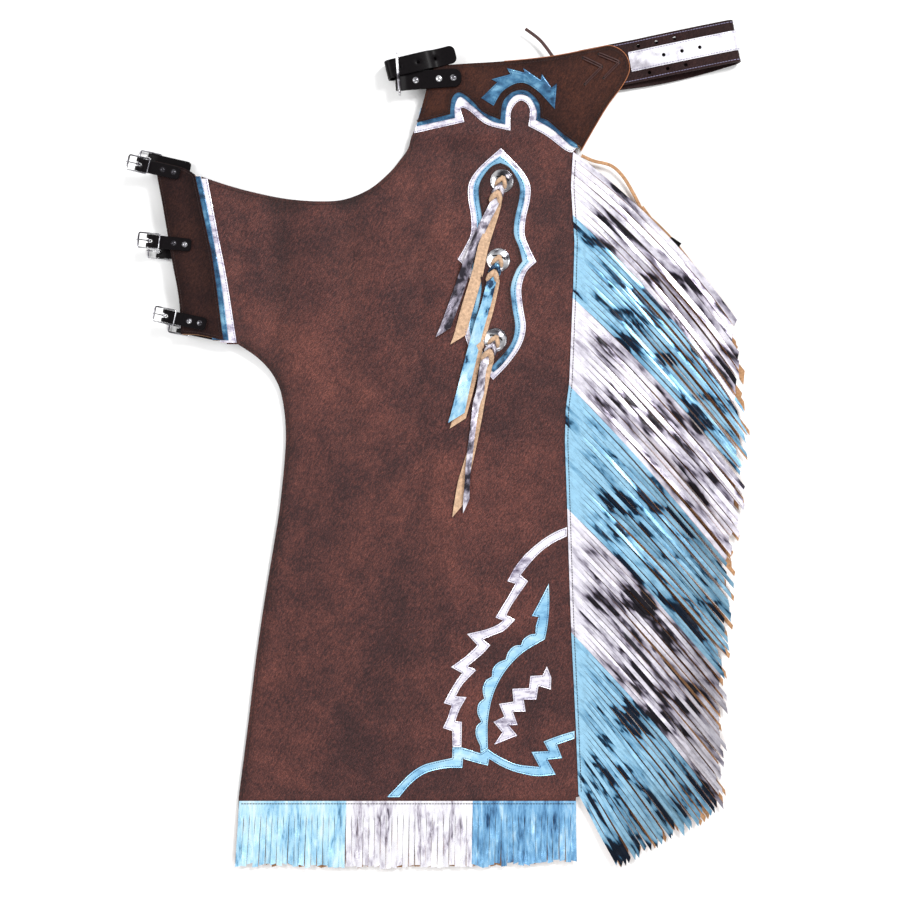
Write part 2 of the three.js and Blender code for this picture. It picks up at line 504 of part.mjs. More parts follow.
// Straps: a line of (along, height) points on the inside of the fold, thickened outwards
function offsetLine(line, distance) {
  return line.map((spot, i) => {
    const [before, after] = [line[Math.max(i - 1, 0)], line[Math.min(i + 1, line.length - 1)]];
    const along = after.clone().sub(before).normalize();
    return new THREE.Vector2(along.y, -along.x).multiplyScalar(distance).add(spot);
  });
}
function strap(line, thickness, width) {
  const section = new THREE.Shape([...line, ...offsetLine(line, thickness).reverse()]);
  const geometry = new THREE.ExtrudeGeometry(section, { depth: width, bevelEnabled: false });
  geometry.rotateX(Math.PI / 2);
  geometry.translate(0, width / 2, 0);
  return solidOf(geometry);
}
const spots = (rows) => rows.map(([along, height]) => new THREE.Vector2(along, height));
function fold(height, radius, from, to, steps, along = 0) {
  return Array.from({ length: steps + 1 }, (_, i) => {
    const angle = THREE.MathUtils.degToRad(mix(from, to, i / steps));
    return new THREE.Vector2(along + radius * Math.cos(angle), height + radius * Math.sin(angle));
  });
}
function box(along, aside, low, high) {
  const geometry = new THREE.BoxGeometry(along[1] - along[0], aside[1] - aside[0], high - low);
  geometry.translate((along[0] + along[1]) / 2, (aside[0] + aside[1]) / 2, (low + high) / 2);
  return solidOf(geometry);
}
const ROUND_SIDES = 10;
function disc(radius, low, high, spot) {
  const geometry = new THREE.CylinderGeometry(radius, radius, high - low, ROUND_SIDES);
  geometry.rotateX(Math.PI / 2);
  geometry.translate(spot.x, spot.y, (low + high) / 2);
  return solidOf(geometry);
}
// Stands a piece on the surface between the legs, turned in plan, on the near or the far side
function seated(solid, spot, turn, side = 1) {
  const sided = side > 0 ? solid : solid.mirror([0, 0, 1]);
  return sided.rotate([0, 0, turn]).translate([spot.x, spot.y, levelAt(spot)]);
}

// A thigh buckle with its strap. Its middle bar lies at the origin, at BUCKLE_LEVEL.
function thighStrap() {
  const low = OVERLAY_TOP + LAYER_GAP + STRAP_LEATHER;
  const high = low + LAYER_GAP;
  // Columns: along in buckle lengths, height
  const over = [
    [0.42, high], [0.27, mix(high, BUCKLE_LEVEL, 0.4)], [0.13, BUCKLE_LEVEL + FOLD_RADIUS * 0.6],
  ].map(([along, height]) => [along * BUCKLE_LENGTH, height]);
  const under = [
    [0.2, mix(low, BUCKLE_LEVEL, 0.2)], [0.4, low],
  ].map(([along, height]) => [along * BUCKLE_LENGTH, height]);
  const line = [
    ...spots([[STRAP_REACH, high], ...over]),
    ...fold(BUCKLE_LEVEL, FOLD_RADIUS, 70, 290, 7),
    ...spots([...under, [STRAP_REACH, low]]),
  ];
  const slotEnds = [-BUCKLE_LENGTH / 4, BUCKLE_LENGTH / 5];
  const slot = box(slotEnds, [-STRAP_SLOT / 2, STRAP_SLOT / 2], 0, CLEAR_OF_ALL);
  const rivets = [FIRST_RIVET, SECOND_RIVET].map((along) => (
    disc(RIVET_RADIUS, STRAP_TOP - LAYER_GAP, STRAP_TOP + RIVET_HEIGHT, { x: along, y: 0 })));
  return wasm.Manifold.union([strap(line, STRAP_LEATHER, STRAP_WIDTH).subtract(slot), ...rivets]);
}

// A flat frame with round corners, its middle at the origin
function roundedFrame(length, width, radius, wire) {
  const shape = new THREE.Shape();
  const [x, y] = [length / 2, width / 2];
  shape.absarc(x - radius, y - radius, radius, 0, Math.PI / 2);
  shape.absarc(radius - x, y - radius, radius, Math.PI / 2, Math.PI);
  shape.absarc(radius - x, radius - y, radius, Math.PI, Math.PI * 1.5);
  shape.absarc(x - radius, radius - y, radius, Math.PI * 1.5, Math.PI * 2);
  const geometry = new THREE.ExtrudeGeometry(shape, { depth: wire, bevelEnabled: false, curveSegments: 4 });
  geometry.translate(0, 0, -wire / 2);
  return solidOf(geometry).subtract(box([wire - x, x - wire], [wire - y, y - wire], -wire, wire));
}
function thighFrame() {
  const aside = (BUCKLE_WIDTH - WIRE) / 2;
  const middleBar = box([-WIRE / 2, WIRE / 2], [-aside, aside], -WIRE / 2, WIRE / 2);
  const frame = roundedFrame(BUCKLE_LENGTH, BUCKLE_WIDTH, WIRE * 1.5, WIRE).add(middleBar);
  return frame.translate([0, 0, BUCKLE_LEVEL]);
}
// The prong with its eye round the middle bar, and its tip over the end bar
function thighProng() {
  const eye = FOLD_RADIUS + PRONG_THICKNESS;
  const tip = -BUCKLE_LENGTH / 2 - PRONG_OVERHANG;
  const rest = WIRE / 2 + LAYER_GAP;
  const shape = new THREE.Shape();
  shape.moveTo(tip, rest);
  shape.lineTo(-eye / 2, FOLD_RADIUS * 0.8);
  shape.absarc(0, 0, eye, Math.PI * 0.95, Math.PI * 2.5);
  shape.lineTo(tip * 0.9, rest + PRONG_THICKNESS);
  const hole = new THREE.Path();
  hole.absarc(0, 0, FOLD_RADIUS, 0, Math.PI * 2);
  shape.holes.push(hole);
  const settings = { depth: PRONG_WIDTH, bevelEnabled: false, curveSegments: 7 };
  const geometry = new THREE.ExtrudeGeometry(shape, settings);
  geometry.rotateX(Math.PI / 2);
  geometry.translate(0, PRONG_WIDTH / 2, BUCKLE_LEVEL);
  return solidOf(geometry);
}
THIGH_BUCKLES.forEach(([across, up, turn], i) => {
  const spot = place(across, up);
  add(`tab_strap_${i + 1}`, seated(thighStrap(), spot, turn), materials.strap);
  add(`tab_buckle_${i + 1}`, seated(thighFrame(), spot, turn), materials.steel);
  add(`tab_prong_${i + 1}`, seated(thighProng(), spot, turn), materials.steel);
  const farSpot = place(across + FAR_SLIP[i][0], up + FAR_SLIP[i][1]);
  const filling = box([-FOLD_RADIUS * 1.3, 0], [-STRAP_WIDTH / 2, STRAP_WIDTH / 2 - WIRE],
    BUCKLE_LEVEL - WIRE / 2, BUCKLE_LEVEL + WIRE / 2);
  const prong = box([-BUCKLE_LENGTH / 2, 0], [-PRONG_WIDTH / 2, PRONG_WIDTH / 2],
    BUCKLE_LEVEL, BUCKLE_LEVEL + WIRE / 2 + PRONG_THICKNESS);
  const whole = wasm.Manifold.union([thighStrap(), thighFrame(), filling, prong]);
  add(`far_tab_buckle_${i + 1}`, seated(whole, farSpot, turn, -1), materials.strap);
});

// Conchos and their strings. A string runs from the concho's slot over its dome to a knot.
const CONCHO_PROFILE = [[0, 0], [0.96, 0], [1, 0.1], [1, 0.25], [0.75, 0.55], [0.35, 0.9], [0, 1]];
const CONCHO_SIDES = 20;
function ribbon(stations, width, thickness) {
  const corners = [];
  stations.forEach((spot, i) => {
    const before = stations[Math.max(i - 1, 0)];
    const after = stations[Math.min(i + 1, stations.length - 1)];
    const aside = new THREE.Vector2(after.y - before.y, before.x - after.x).setLength(width / 2);
    corners.push(spot.x - aside.x, spot.y - aside.y, spot.z, spot.x + aside.x, spot.y + aside.y, spot.z);
    corners.push(spot.x + aside.x, spot.y + aside.y, spot.z + thickness);
    corners.push(spot.x - aside.x, spot.y - aside.y, spot.z + thickness);
  });
  const faces = [0, 1, 2, 0, 2, 3];
  for (let i = 0; i < stations.length - 1; i++) {
    for (let k = 0; k < 4; k++) {
      const [a, b] = [4 * i + k, 4 * i + (k + 1) % 4];
      faces.push(a, a + 4, b + 4, a, b + 4, b);
    }
  }
  const last = 4 * (stations.length - 1);
  faces.push(last, last + 2, last + 1, last, last + 3, last + 2);
  const geometry = new THREE.BufferGeometry();
  geometry.setAttribute('position', new THREE.Float32BufferAttribute(corners, 3));
  geometry.setIndex(faces);
  return solidOf(geometry);
}
const onConcho = (share) => CREST_LOW + share * CONCHO_HEIGHT + LAYER_GAP;
const overOverlay = OVERLAY_TOP + LAYER_GAP;
const overPanel = PANEL_TOP + LAYER_GAP;
CONCHOS.forEach(([across, up], i) => {
  const spot = place(across, up);
  const profile = CONCHO_PROFILE.map(([out, high]) => (
    new THREE.Vector2(out * CONCHO_RADIUS, high * CONCHO_HEIGHT)));
  const dome = new THREE.LatheGeometry(profile, CONCHO_SIDES);
  dome.rotateX(Math.PI / 2);
  dome.translate(spot.x, spot.y, CREST_LOW + levelAt(spot));
  add(`concho_${i + 1}`, solidOf(dome), materials.steel);
  const rows = STRINGS[i];
  const level = levelAt(spot);
  const knot = place(...rows[0]);
  const towards = knot.clone().sub(spot).normalize();
  const stations = [[0, 1.05], [0.8, 0.75], [1.1, 0.35]].map(([out, high]) => {
    const rest = spot.clone().addScaledVector(towards, out * CONCHO_RADIUS);
    return new THREE.Vector3(rest.x, rest.y, level + onConcho(high));
  });
  rows.forEach((row, k) => {
    const rest = place(...row);
    const height = k <= STRING_LEAVES[i] ? overOverlay : overPanel;
    stations.push(new THREE.Vector3(rest.x, rest.y, levelAt(rest) + height));
  });
  const ball = new THREE.SphereGeometry(KNOT_RADIUS, 8, 6);
  ball.scale(1, 1, 0.6);
  ball.translate(knot.x, knot.y, level + overOverlay + KNOT_RADIUS * 0.6);
  const string = ribbon(stations, STRING_WIDTH, STRING_LEATHER).add(solidOf(ball));
  add(`concho_string_${i + 1}`, string, materials.tan);
});

// Flat laces and straps that follow the leather
function band(rows, width) {
  const line = smooth(rows.map(([across, up]) => [across, up]), false);
  const side = (sign) => line.map((spot, i) => {
    const [before, after] = [line[Math.max(i - 1, 0)], line[Math.min(i + 1, line.length - 1)]];
    const along = after.clone().sub(before).normalize();
    return new THREE.Vector2(-along.y, along.x).multiplyScalar(sign * width / 2).add(spot);
  });
  return [...side(-1), ...side(1).reverse()];
}
add('leg_billet', leather(band(LEG_BILLET, LEG_BILLET_WIDTH), PANEL_LOW, PANEL_TOP), materials.strap);
const UNDER_YOKE = OVERLAY_LOW - LAYER_GAP;
add('lace_tail', leather(band(LACE_TAIL, LACE_WIDTH), UNDER_YOKE - LACE_LEATHER, UNDER_YOKE), materials.tan);
YOKE_LACES.forEach((rows, i) => {
  const outline = rows.slice(1).map((row, k) => band([rows[k], row], LACE_WIDTH));
  const laces = outline.map((points) => leather(points, CREST_LOW, CREST_LOW + LACE_LEATHER));
  add(`yoke_lace_${i + 1}`, wasm.Manifold.union(laces), materials.tan);
});

// The belt: both halves run under the yokes' round ends and meet in one fold
const beltStart = place(...BELT_START);
const beltRun = place(...BELT_END).sub(beltStart);
const BELT_TURN = THREE.MathUtils.radToDeg(beltRun.angle());
const beltFold = beltRun.length() - BELT_LOOP / 2 - BELT_LEATHER;
const beltFloor = LAYER_GAP + BELT_LEATHER - levelAt(beltStart);
const beltInside = UNDER_YOKE - BELT_LEATHER;
const beltLine = [
  ...spots([
    [0, -beltInside], [beltFold * 0.33, -beltInside], [beltFold * 0.66, mix(-beltInside, beltFloor, 0.7)],
  ]),
  ...fold(beltFloor + BELT_LOOP / 2, BELT_LOOP / 2, -90, 90, 6, beltFold),
  ...spots(BELT_RISE.map(([along, rise]) => (
    [along * beltFold, mix(beltInside, beltFloor + BELT_LOOP, rise)]))),
];
const stripLine = offsetLine(beltLine, BELT_LEATHER + LAYER_GAP).slice(STRIP_FROM, -2);
const beltHoles = BELT_HOLES.map(([along, aside]) => (
  disc(BELT_HOLE_RADIUS, 0, CLEAR_OF_ALL, { x: along * beltFold, y: aside * BELT_WIDTH })));
const holes = wasm.Manifold.union(beltHoles);
const belt = strap(beltLine, BELT_LEATHER, BELT_WIDTH).subtract(holes);
const strip = strap(stripLine, BELT_STRIP_LEATHER, BELT_STRIP_WIDTH).subtract(holes);
add('belt', seated(belt, beltStart, BELT_TURN), materials.brown);
add('belt_silver_strip', seated(strip, beltStart, BELT_TURN), materials.silver);

// The waist: a strap on the near yoke holds the buckle, and the far leg's billet runs through it
const waistLow = OVERLAY_TOP + LAYER_GAP + WAIST_STRAP_LEATHER;
const waistHigh = waistLow + LAYER_GAP;
const waistFold = WAIST_BUCKLE_WIRE * Math.SQRT1_2 + FOLD_GAP;
const waistBar = (waistLow + waistHigh) / 2;
const waistTurn = THREE.MathUtils.degToRad(WAIST_TURN);
const barSpot = place(...WAIST_STRAP_END).sub(
  new THREE.Vector2(Math.cos(waistTurn), Math.sin(waistTurn)).multiplyScalar(WAIST_STRAP_LENGTH));
const waistLine = [
  ...spots([[WAIST_STRAP_LENGTH, waistHigh], [waistFold * 4, waistHigh]]),
  ...fold(waistBar, waistFold, 60, 300, 7),
  ...spots([[waistFold * 4, waistLow], [WAIST_STRAP_LENGTH, waistLow]]),
];
const waistTop = waistHigh + WAIST_STRAP_LEATHER;
const waistRivets = WAIST_RIVETS.map((along) => disc(RIVET_RADIUS * 1.2, waistTop - LAYER_GAP,
  waistTop + RIVET_HEIGHT, { x: along * WAIST_STRAP_LENGTH, y: 0 }));
const waistBand = strap(waistLine, WAIST_STRAP_LEATHER, WAIST_STRAP_WIDTH);
const waistStrap = wasm.Manifold.union([waistBand, ...waistRivets]);
add('waist_strap', seated(waistStrap, barSpot, WAIST_TURN), materials.strap);

const waistFrameMiddle = waistBar + (WAIST_BUCKLE_HEIGHT - WAIST_BUCKLE_WIRE) / 2;
const waistFrame = roundedFrame(
  WAIST_BUCKLE_HEIGHT, WAIST_BUCKLE_WIDTH, WAIST_BUCKLE_WIRE * 1.2, WAIST_BUCKLE_WIRE,
).rotate([0, 90, 0]).translate([0, WAIST_FRAME_SHIFT, waistFrameMiddle]);
const billetSpot = new THREE.Vector2(-Math.sin(waistTurn), Math.cos(waistTurn))
  .multiplyScalar(WAIST_BILLET_ASIDE).add(barSpot);
const prongHalf = WAIST_BUCKLE_WIRE * 0.4;
const prongSides = [WAIST_BILLET_ASIDE - prongHalf, WAIST_BILLET_ASIDE + prongHalf];
const prongTop = waistBar + WAIST_BUCKLE_HEIGHT - WAIST_BUCKLE_WIRE;
const waistProng = box([-prongHalf, prongHalf], prongSides, waistBar, prongTop);
add('waist_buckle', seated(waistFrame.add(waistProng), barSpot, WAIST_TURN), materials.steel);

const billetOver = waistBar + waistFold + WAIST_STRAP_LEATHER + LAYER_GAP * 2;
// Columns: along in billet lengths, height
const billetRise = [
  [1, overOverlay], [0.66, overOverlay], [0.5, mix(overOverlay, billetOver, 0.7)],
].map(([along, height]) => [along * WAIST_BILLET_LENGTH, height]);
const billetLine = [
  ...spots([...billetRise, [waistFold * 2.4, billetOver]]),
  ...fold(billetOver - BILLET_BEND, BILLET_BEND, 90, 180, 4, -waistFold * 3),
  ...fold(BILLET_BEND - overOverlay, BILLET_BEND, 180, 270, 4, -waistFold * 3),
  ...spots([[WAIST_BILLET_LENGTH * 0.7, -overOverlay]]),
];
const holeSides = [-prongHalf * 2, prongHalf * 2];
const billetHole = box(holeSides, holeSides, 0, CLEAR_OF_ALL);
const billet = strap(billetLine, WAIST_STRAP_LEATHER, WAIST_STRAP_WIDTH).subtract(billetHole);
add('waist_billet', seated(billet, billetSpot, WAIST_BILLET_TURN), materials.strap);

// The origin: the middle of the whole, on the floor
const whole = new THREE.Box3().setFromObject(chaps);
const middle = whole.getCenter(new THREE.Vector3());
for (const node of chaps.children) node.position.set(-middle.x, -middle.y, -whole.min.z);

export default chaps;
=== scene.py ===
"""Rodeo chaps lying folded on a white floor, seen from straight above."""
import math
import random

import bpy
import numpy as np
from mathutils import Matrix, Vector, noise
from mathutils.geometry import delaunay_2d_cdt


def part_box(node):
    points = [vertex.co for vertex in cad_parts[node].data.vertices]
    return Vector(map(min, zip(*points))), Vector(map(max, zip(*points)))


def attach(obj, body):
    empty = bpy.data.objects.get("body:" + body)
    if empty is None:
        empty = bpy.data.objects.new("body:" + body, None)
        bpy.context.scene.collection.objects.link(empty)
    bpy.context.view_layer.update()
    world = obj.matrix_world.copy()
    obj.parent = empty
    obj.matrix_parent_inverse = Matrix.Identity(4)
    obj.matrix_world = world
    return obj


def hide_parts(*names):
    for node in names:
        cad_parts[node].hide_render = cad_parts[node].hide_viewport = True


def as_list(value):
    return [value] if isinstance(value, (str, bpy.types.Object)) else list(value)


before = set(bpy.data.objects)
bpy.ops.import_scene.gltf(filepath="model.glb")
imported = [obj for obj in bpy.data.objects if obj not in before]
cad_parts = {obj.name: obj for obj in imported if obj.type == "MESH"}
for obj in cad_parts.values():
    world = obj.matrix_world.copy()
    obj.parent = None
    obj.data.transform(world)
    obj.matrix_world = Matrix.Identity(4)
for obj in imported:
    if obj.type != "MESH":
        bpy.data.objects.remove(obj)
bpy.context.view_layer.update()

MM = 0.001
BODY = "chaps"

# Leather and gaps, as in the solids
GAP = 0.3 * MM
PANEL_LEATHER = 1.8 * MM
TRIM_LEATHER = 1.0 * MM
OVERLAY_LEATHER = 1.6 * MM
FRINGE_LEATHER = 1.2 * MM
STRAP_LEATHER = 1.6 * MM
STRAP_WIDTH = 15.4 * MM
STRAP_REACH = 51 * MM
FIRST_RIVET = 30 * MM
SECOND_RIVET = 43.5 * MM
BUCKLE_LENGTH = 27.5 * MM
BUCKLE_WIDTH = 20 * MM
WIRE = 2 * MM
PRONG_THICKNESS = 1.4 * MM
PRONG_OVERHANG = 1.6 * MM
WAIST_LEATHER = 2 * MM
WAIST_WIDTH = 22 * MM
WAIST_FRAME = (30 * MM, 51 * MM)
WAIST_WIRE = 3.2 * MM
WAIST_STRAP_LENGTH = 76 * MM
WAIST_FRAME_SHIFT = 7 * MM
WAIST_BILLET_ASIDE = 17 * MM
WAIST_BILLET_LENGTH = 72 * MM
BILLET_BEND = 5 * MM
WAIST_TURN = math.radians(4)
WAIST_BILLET_TURN = math.radians(14)
BELT_WIDTH = 52 * MM
BELT_LEATHER = 3 * MM
BELT_LOOP = 11 * MM
BELT_STRIP_WIDTH = 24 * MM
BELT_STRIP_LEATHER = 0.8 * MM
BELT_HOLE_RADIUS = 2.3 * MM
CONCHO_HEIGHT = 4 * MM
STRING_LEATHER = 1.3 * MM
MEDALLION_REVEAL = 6.5 * MM
HEADER_WIDTH = 16 * MM

PANEL_LOW = GAP / 2
PANEL_TOP = PANEL_LOW + PANEL_LEATHER
SILVER_LOW = PANEL_TOP + GAP
SILVER_TOP = SILVER_LOW + TRIM_LEATHER
BLUE_LOW = SILVER_TOP + GAP
BLUE_TOP = BLUE_LOW + TRIM_LEATHER
OVERLAY_LOW = BLUE_TOP + GAP
OVERLAY_TOP = OVERLAY_LOW + OVERLAY_LEATHER
CREST_LOW = OVERLAY_TOP + GAP

# Outline tables, as in the part's source but for the corner's ornaments, which are truer here.
# Columns: across and up, in per cent of the thigh's width and of the leg's length, and S where
# the outline turns sharply.
S = "sharp"
THIGH_EDGE = [
    (62.8, 91.7, S), (59.5, 88.7), (58.3, 86.7), (56.3, 85.2), (53.8, 83.6), (48.8, 81.4),
    (42.5, 80.0), (36.3, 79.7), (28.8, 80.0), (21.3, 80.7), (13.8, 81.7), (7.0, 82.9, S),
    (10.3, 71.7), (13.3, 60.7, S),
]
INNER_EDGE = [
    (16.0, 60.7, S), (21.3, 58.7), (25.0, 56.3), (27.0, 53.3), (27.8, 48.0), (26.5, 40.0),
    (25.0, 34.7), (22.5, 26.7), (20.3, 18.7), (18.5, 10.7), (16.0, 0.4, S),
]
HEM = [(16.0, 0.4, S), (31.3, 0.1), (56.3, -0.1), (74.5, 0.0), (86.3, 0.3), (100.8, 0.7, S)]
SIDE_SEAM = [
    (100.8, 0.7, S), (100.1, 10.4), (99.0, 22.4), (98.5, 29.9), (97.9, 40.3), (97.4, 47.7),
    (97.6, 52.0), (98.5, 55.7), (99.5, 68.8), (99.8, 74.4), (98.9, 81.9), (99.4, 86.3, S),
]
PANEL_TOP_EDGE = [(99.8, 89.6, S), (93.3, 94.4, S), (69.3, 95.2, S)]
YOKE_TOP_EDGE = [
    (61.3, 91.3), (63.0, 94.7, S), (65.0, 97.6, S), (81.3, 98.2), (93.8, 98.9), (103.8, 99.9),
    (108.8, 100.3), (112.3, 99.2), (113.4, 97.2), (111.7, 95.1), (108.0, 92.4), (104.5, 89.3),
    (101.4, 86.4, S),
]
YOKE_LOW_EDGE = [
    (101.3, 86.9, S), (96.8, 88.7), (93.3, 90.3), (91.3, 90.8, S), (90.8, 92.8), (88.0, 94.3),
    (84.8, 94.3), (82.0, 92.9), (81.3, 90.5, S), (77.0, 91.5), (74.0, 93.1), (71.0, 94.1),
    (69.2, 93.2), (68.8, 91.2, S), (60.5, 90.1, S),
]
TRIM_TOP_EDGE = [(99.5, 89.4, S), (93.8, 95.5, S), (66.3, 94.9, S), (61.5, 92.0, S)]
YOKE_BLUE_EDGE = [
    (60.4, 89.6, S), (70.0, 90.7, S), (70.0, 92.3), (71.3, 93.5), (74.3, 92.3), (78.8, 90.4),
    (82.5, 89.9, S), (83.0, 92.4), (85.3, 93.8), (88.5, 93.5), (90.3, 91.7), (90.1, 90.5, S),
    (94.3, 89.2), (98.8, 87.1), (100.6, 86.8, S),
]
YOKE_SILVER_EDGE = [
    (59.8, 88.7, S), (72.3, 90.2, S), (71.5, 92.0), (73.5, 91.7), (77.8, 89.9), (83.8, 89.1, S),
    (84.0, 91.7), (86.3, 93.1), (88.6, 92.1), (88.3, 89.7, S), (92.8, 88.4), (97.5, 86.5),
    (99.2, 86.2, S), (100.4, 86.9, S),
]
CREST = [
    (76.5, 93.3, S), (80.5, 95.4, S), (79.1, 95.8, S), (83.8, 96.5, S), (82.9, 97.3, S),
    (87.3, 96.7, S), (87.0, 97.3, S), (91.3, 95.7, S), (91.6, 96.5, S), (94.0, 94.7, S),
    (95.3, 95.3, S), (94.8, 91.9, S), (90.3, 94.4), (86.3, 95.4), (82.0, 94.3), (79.6, 92.3, S),
]
TAB = [
    (-4.3, 84.9, S), (2.5, 84.0), (5.5, 83.1, S), (8.0, 76.7), (10.0, 71.3), (12.5, 61.2, S),
    (6.3, 61.9), (2.0, 62.0, S), (1.5, 66.7), (-0.3, 72.0), (-2.3, 78.4), (-3.8, 82.7),
]
TAB_BLUE_EDGE = [(6.8, 82.9, S), (8.3, 79.3), (11.8, 69.3), (13.8, 61.2, S)]
TAB_SILVER_EDGE = [(8.5, 82.6, S), (11.3, 74.7), (13.3, 69.3), (15.7, 60.9, S)]
TAB_TRIM_LAP = 4
# Columns: along the medallion, half its width in per cent of the thigh's width, and S
MEDALLION = [
    (0.085, 5.1), (0.15, 7.5), (0.215, 7.7), (0.3, 6.8), (0.37, 6.7), (0.43, 8.1),
    (0.485, 9.8, S), (0.53, 7.4), (0.6, 6.3), (0.68, 6.8), (0.77, 7.7), (0.85, 6.6), (0.93, 3.6),
]
MEDALLION_HEAD = (81.4, 86.8)
MEDALLION_FOOT = (79.5, 56.0)
CORNER_SILVER_FLAME = [
    (97.9, 36.4, S), (95.1, 35.8), (92.0, 34.8), (89.2, 33.6), (86.9, 32.4), (84.8, 30.9),
    (83.1, 29.2, S), (85.1, 28.9, S), (83.1, 27.0), (80.1, 24.4, S), (82.0, 24.0, S), (80.5, 23.4),
    (77.7, 22.8), (73.0, 22.2, S), (75.6, 20.7, S), (73.1, 19.4), (69.0, 17.8, S), (71.8, 17.0, S),
    (69.8, 15.5), (67.2, 13.0, S), (69.2, 12.7, S), (68.3, 11.2), (67.0, 9.7, S), (69.3, 9.3, S),
    (69.4, 7.2, S), (71.6, 7.2, S), (71.7, 10.5, S), (70.1, 10.6, S), (71.1, 12.1), (72.9, 13.8, S),
    (70.2, 13.9, S), (71.6, 15.3), (73.4, 16.4), (75.3, 17.4, S), (73.1, 17.9, S), (76.7, 19.5),
    (78.8, 20.7, S), (76.9, 21.5, S), (79.7, 22.1), (82.3, 22.7), (85.0, 24.1, S), (82.8, 24.7, S),
    (84.3, 26.2), (88.2, 29.2, S), (86.3, 30.0, S), (87.9, 31.1), (90.0, 32.4), (92.5, 33.6),
    (95.1, 34.5), (97.9, 35.2, S),
]
CORNER_ARROW = [
    (93.4, 28.9, S), (91.5, 26.9), (89.2, 24.6, S), (90.9, 24.5, S), (90.2, 23.2), (90.1, 22.2, S),
    (88.7, 22.1), (87.1, 21.5), (86.5, 20.7, S), (84.8, 20.6), (83.3, 19.8), (82.7, 18.8, S),
    (80.8, 18.4), (79.5, 17.6), (79.2, 16.5, S), (77.7, 16.0), (76.9, 14.8), (77.3, 13.6, S),
    (75.9, 12.9), (75.6, 11.7), (76.6, 10.5, S), (75.4, 9.9), (75.2, 8.7), (76.3, 7.3, S),
    (76.4, 6.4, S), (78.2, 7.0, S), (78.1, 8.8), (78.2, 10.7), (79.0, 13.2), (80.3, 15.2),
    (82.3, 17.1), (84.8, 18.7), (87.9, 20.1), (92.4, 21.5, S), (93.1, 23.5), (93.5, 26.0),
]
CORNER_BLUE_FLAME = [
    (53.1, 0.5, S), (55.8, 2.0), (58.8, 3.6), (61.9, 4.7), (65.0, 5.2), (69.3, 5.7, S),
    (69.4, 7.1, S), (71.6, 7.1, S), (76.4, 6.3, S), (78.2, 6.9, S), (79.7, 6.3), (82.8, 5.4),
    (85.9, 4.8), (91.1, 4.5, S), (89.1, 6.5, S), (93.4, 6.6, S), (92.1, 7.9, S), (95.6, 8.6),
    (99.8, 9.3, S), (99.8, 8.3, S), (95.4, 7.5, S), (96.7, 5.7, S), (93.0, 5.5, S), (95.1, 3.5, S),
    (91.0, 3.3), (87.9, 3.5), (84.3, 4.0), (81.3, 4.7), (78.5, 5.6, S), (78.2, 4.7, S), (75.2, 5.1),
    (72.0, 5.6, S), (71.8, 4.4, S), (68.5, 4.4), (65.0, 4.1), (61.9, 3.5), (58.8, 2.2),
    (56.1, 0.5, S),
]
CORNER_BOLT = [
    (92.9, 17.9, S), (94.0, 16.4, S), (93.9, 14.8, S), (90.8, 15.3, S), (90.3, 13.5, S),
    (87.1, 13.5, S), (87.6, 11.9, S), (84.4, 11.9, S), (85.6, 10.1, S), (83.3, 10.1, S),
    (85.5, 8.7, S), (79.8, 7.5, S), (81.8, 9.1, S), (79.6, 10.5, S), (82.3, 11.2, S),
    (81.0, 12.9, S), (84.6, 13.2, S), (84.3, 14.9, S), (88.5, 15.0, S), (88.8, 16.6, S),
    (91.9, 16.7, S),
]
CONCHOS = [(81.7, 82.4), (80.8, 71.9), (80.0, 61.3)]
# How high the near leg lies over the far one, as shares of the tab's lift
FOLD_ACROSS = [-20, 12.5, 18.0, 27.5, 36.3, 45.0, 53.8, 63.8, 71.0, 88.0, 98.0, 150]
FOLD_UPS = [110, 89.0, 86.0, 79.3, 70.7, 60.7, 50.7, 37.3, 20.0, 4.0, -20]
FOLD_LIFTS = [
    [0.60, 0.60, 0.60, 0.60, 0.60, 0.60, 0.60, 0.60, 0.60, 0.30, 0.30, 0.30],
    [1.00, 1.00, 0.80, 0.60, 0.60, 0.60, 0.60, 0.60, 0.60, 0.30, 0.30, 0.30],
    [1.00, 1.00, 0.75, 0.45, 0.45, 0.40, 0.40, 0.30, 0.00, 0.00, 0.30, 0.30],
    [1.00, 1.00, 0.70, 0.25, 0.45, 0.15, 0.30, 0.10, 0.00, 0.00, 0.00, 0.00],
    [1.00, 1.00, 0.65, 0.10, 0.40, 0.00, 0.25, 0.00, 0.00, 0.00, 0.00, 0.00],
    [1.00, 1.00, 0.60, 0.15, 0.30, 0.10, 0.20, 0.00, 0.00, 0.00, 0.00, 0.00],
    [0.30, 0.30, 0.20, 0.10, 0.25, 0.05, 0.10, 0.00, 0.00, 0.00, 0.00, 0.00],
    [0.00, 0.00, 0.00, 0.05, 0.15, 0.20, 0.10, 0.00, 0.00, 0.00, 0.00, 0.00],
    [0.00, 0.00, 0.00, 0.00, 0.15, 0.05, 0.00, 0.00, 0.00, 0.00, 0.00, 0.00],
    [0.00] * 12,
    [0.00] * 12,
]
# Columns: root up for the side and across for the hem, tip across, tip up, strips in the band
# that starts there, and its bow in per cent of the leg's length
SIDE_FRINGE = [
    (86.3, 139.8, 64.3, 9, 1.25), (77.9, 141.3, 52.0, 13, 1.0), (66.9, 141.8, 42.8, 13, 0.6),
    (55.3, 138.3, 31.1, 19, 0.4), (38.9, 136.8, 16.3, 19, 0.4), (22.4, 136.3, -0.8, 25, 0.4),
    (0.9, 110.0, -8.5, 0, 0),
]
HEM_FRINGE = [
    (16.2, 15.2, -8.5, 19, 0), (42.9, 42.6, -8.8, 22, 0), (74.4, 74.2, -8.7, 18, 0),
    (100.2, 100.3, -7.9, 0, 0),
]
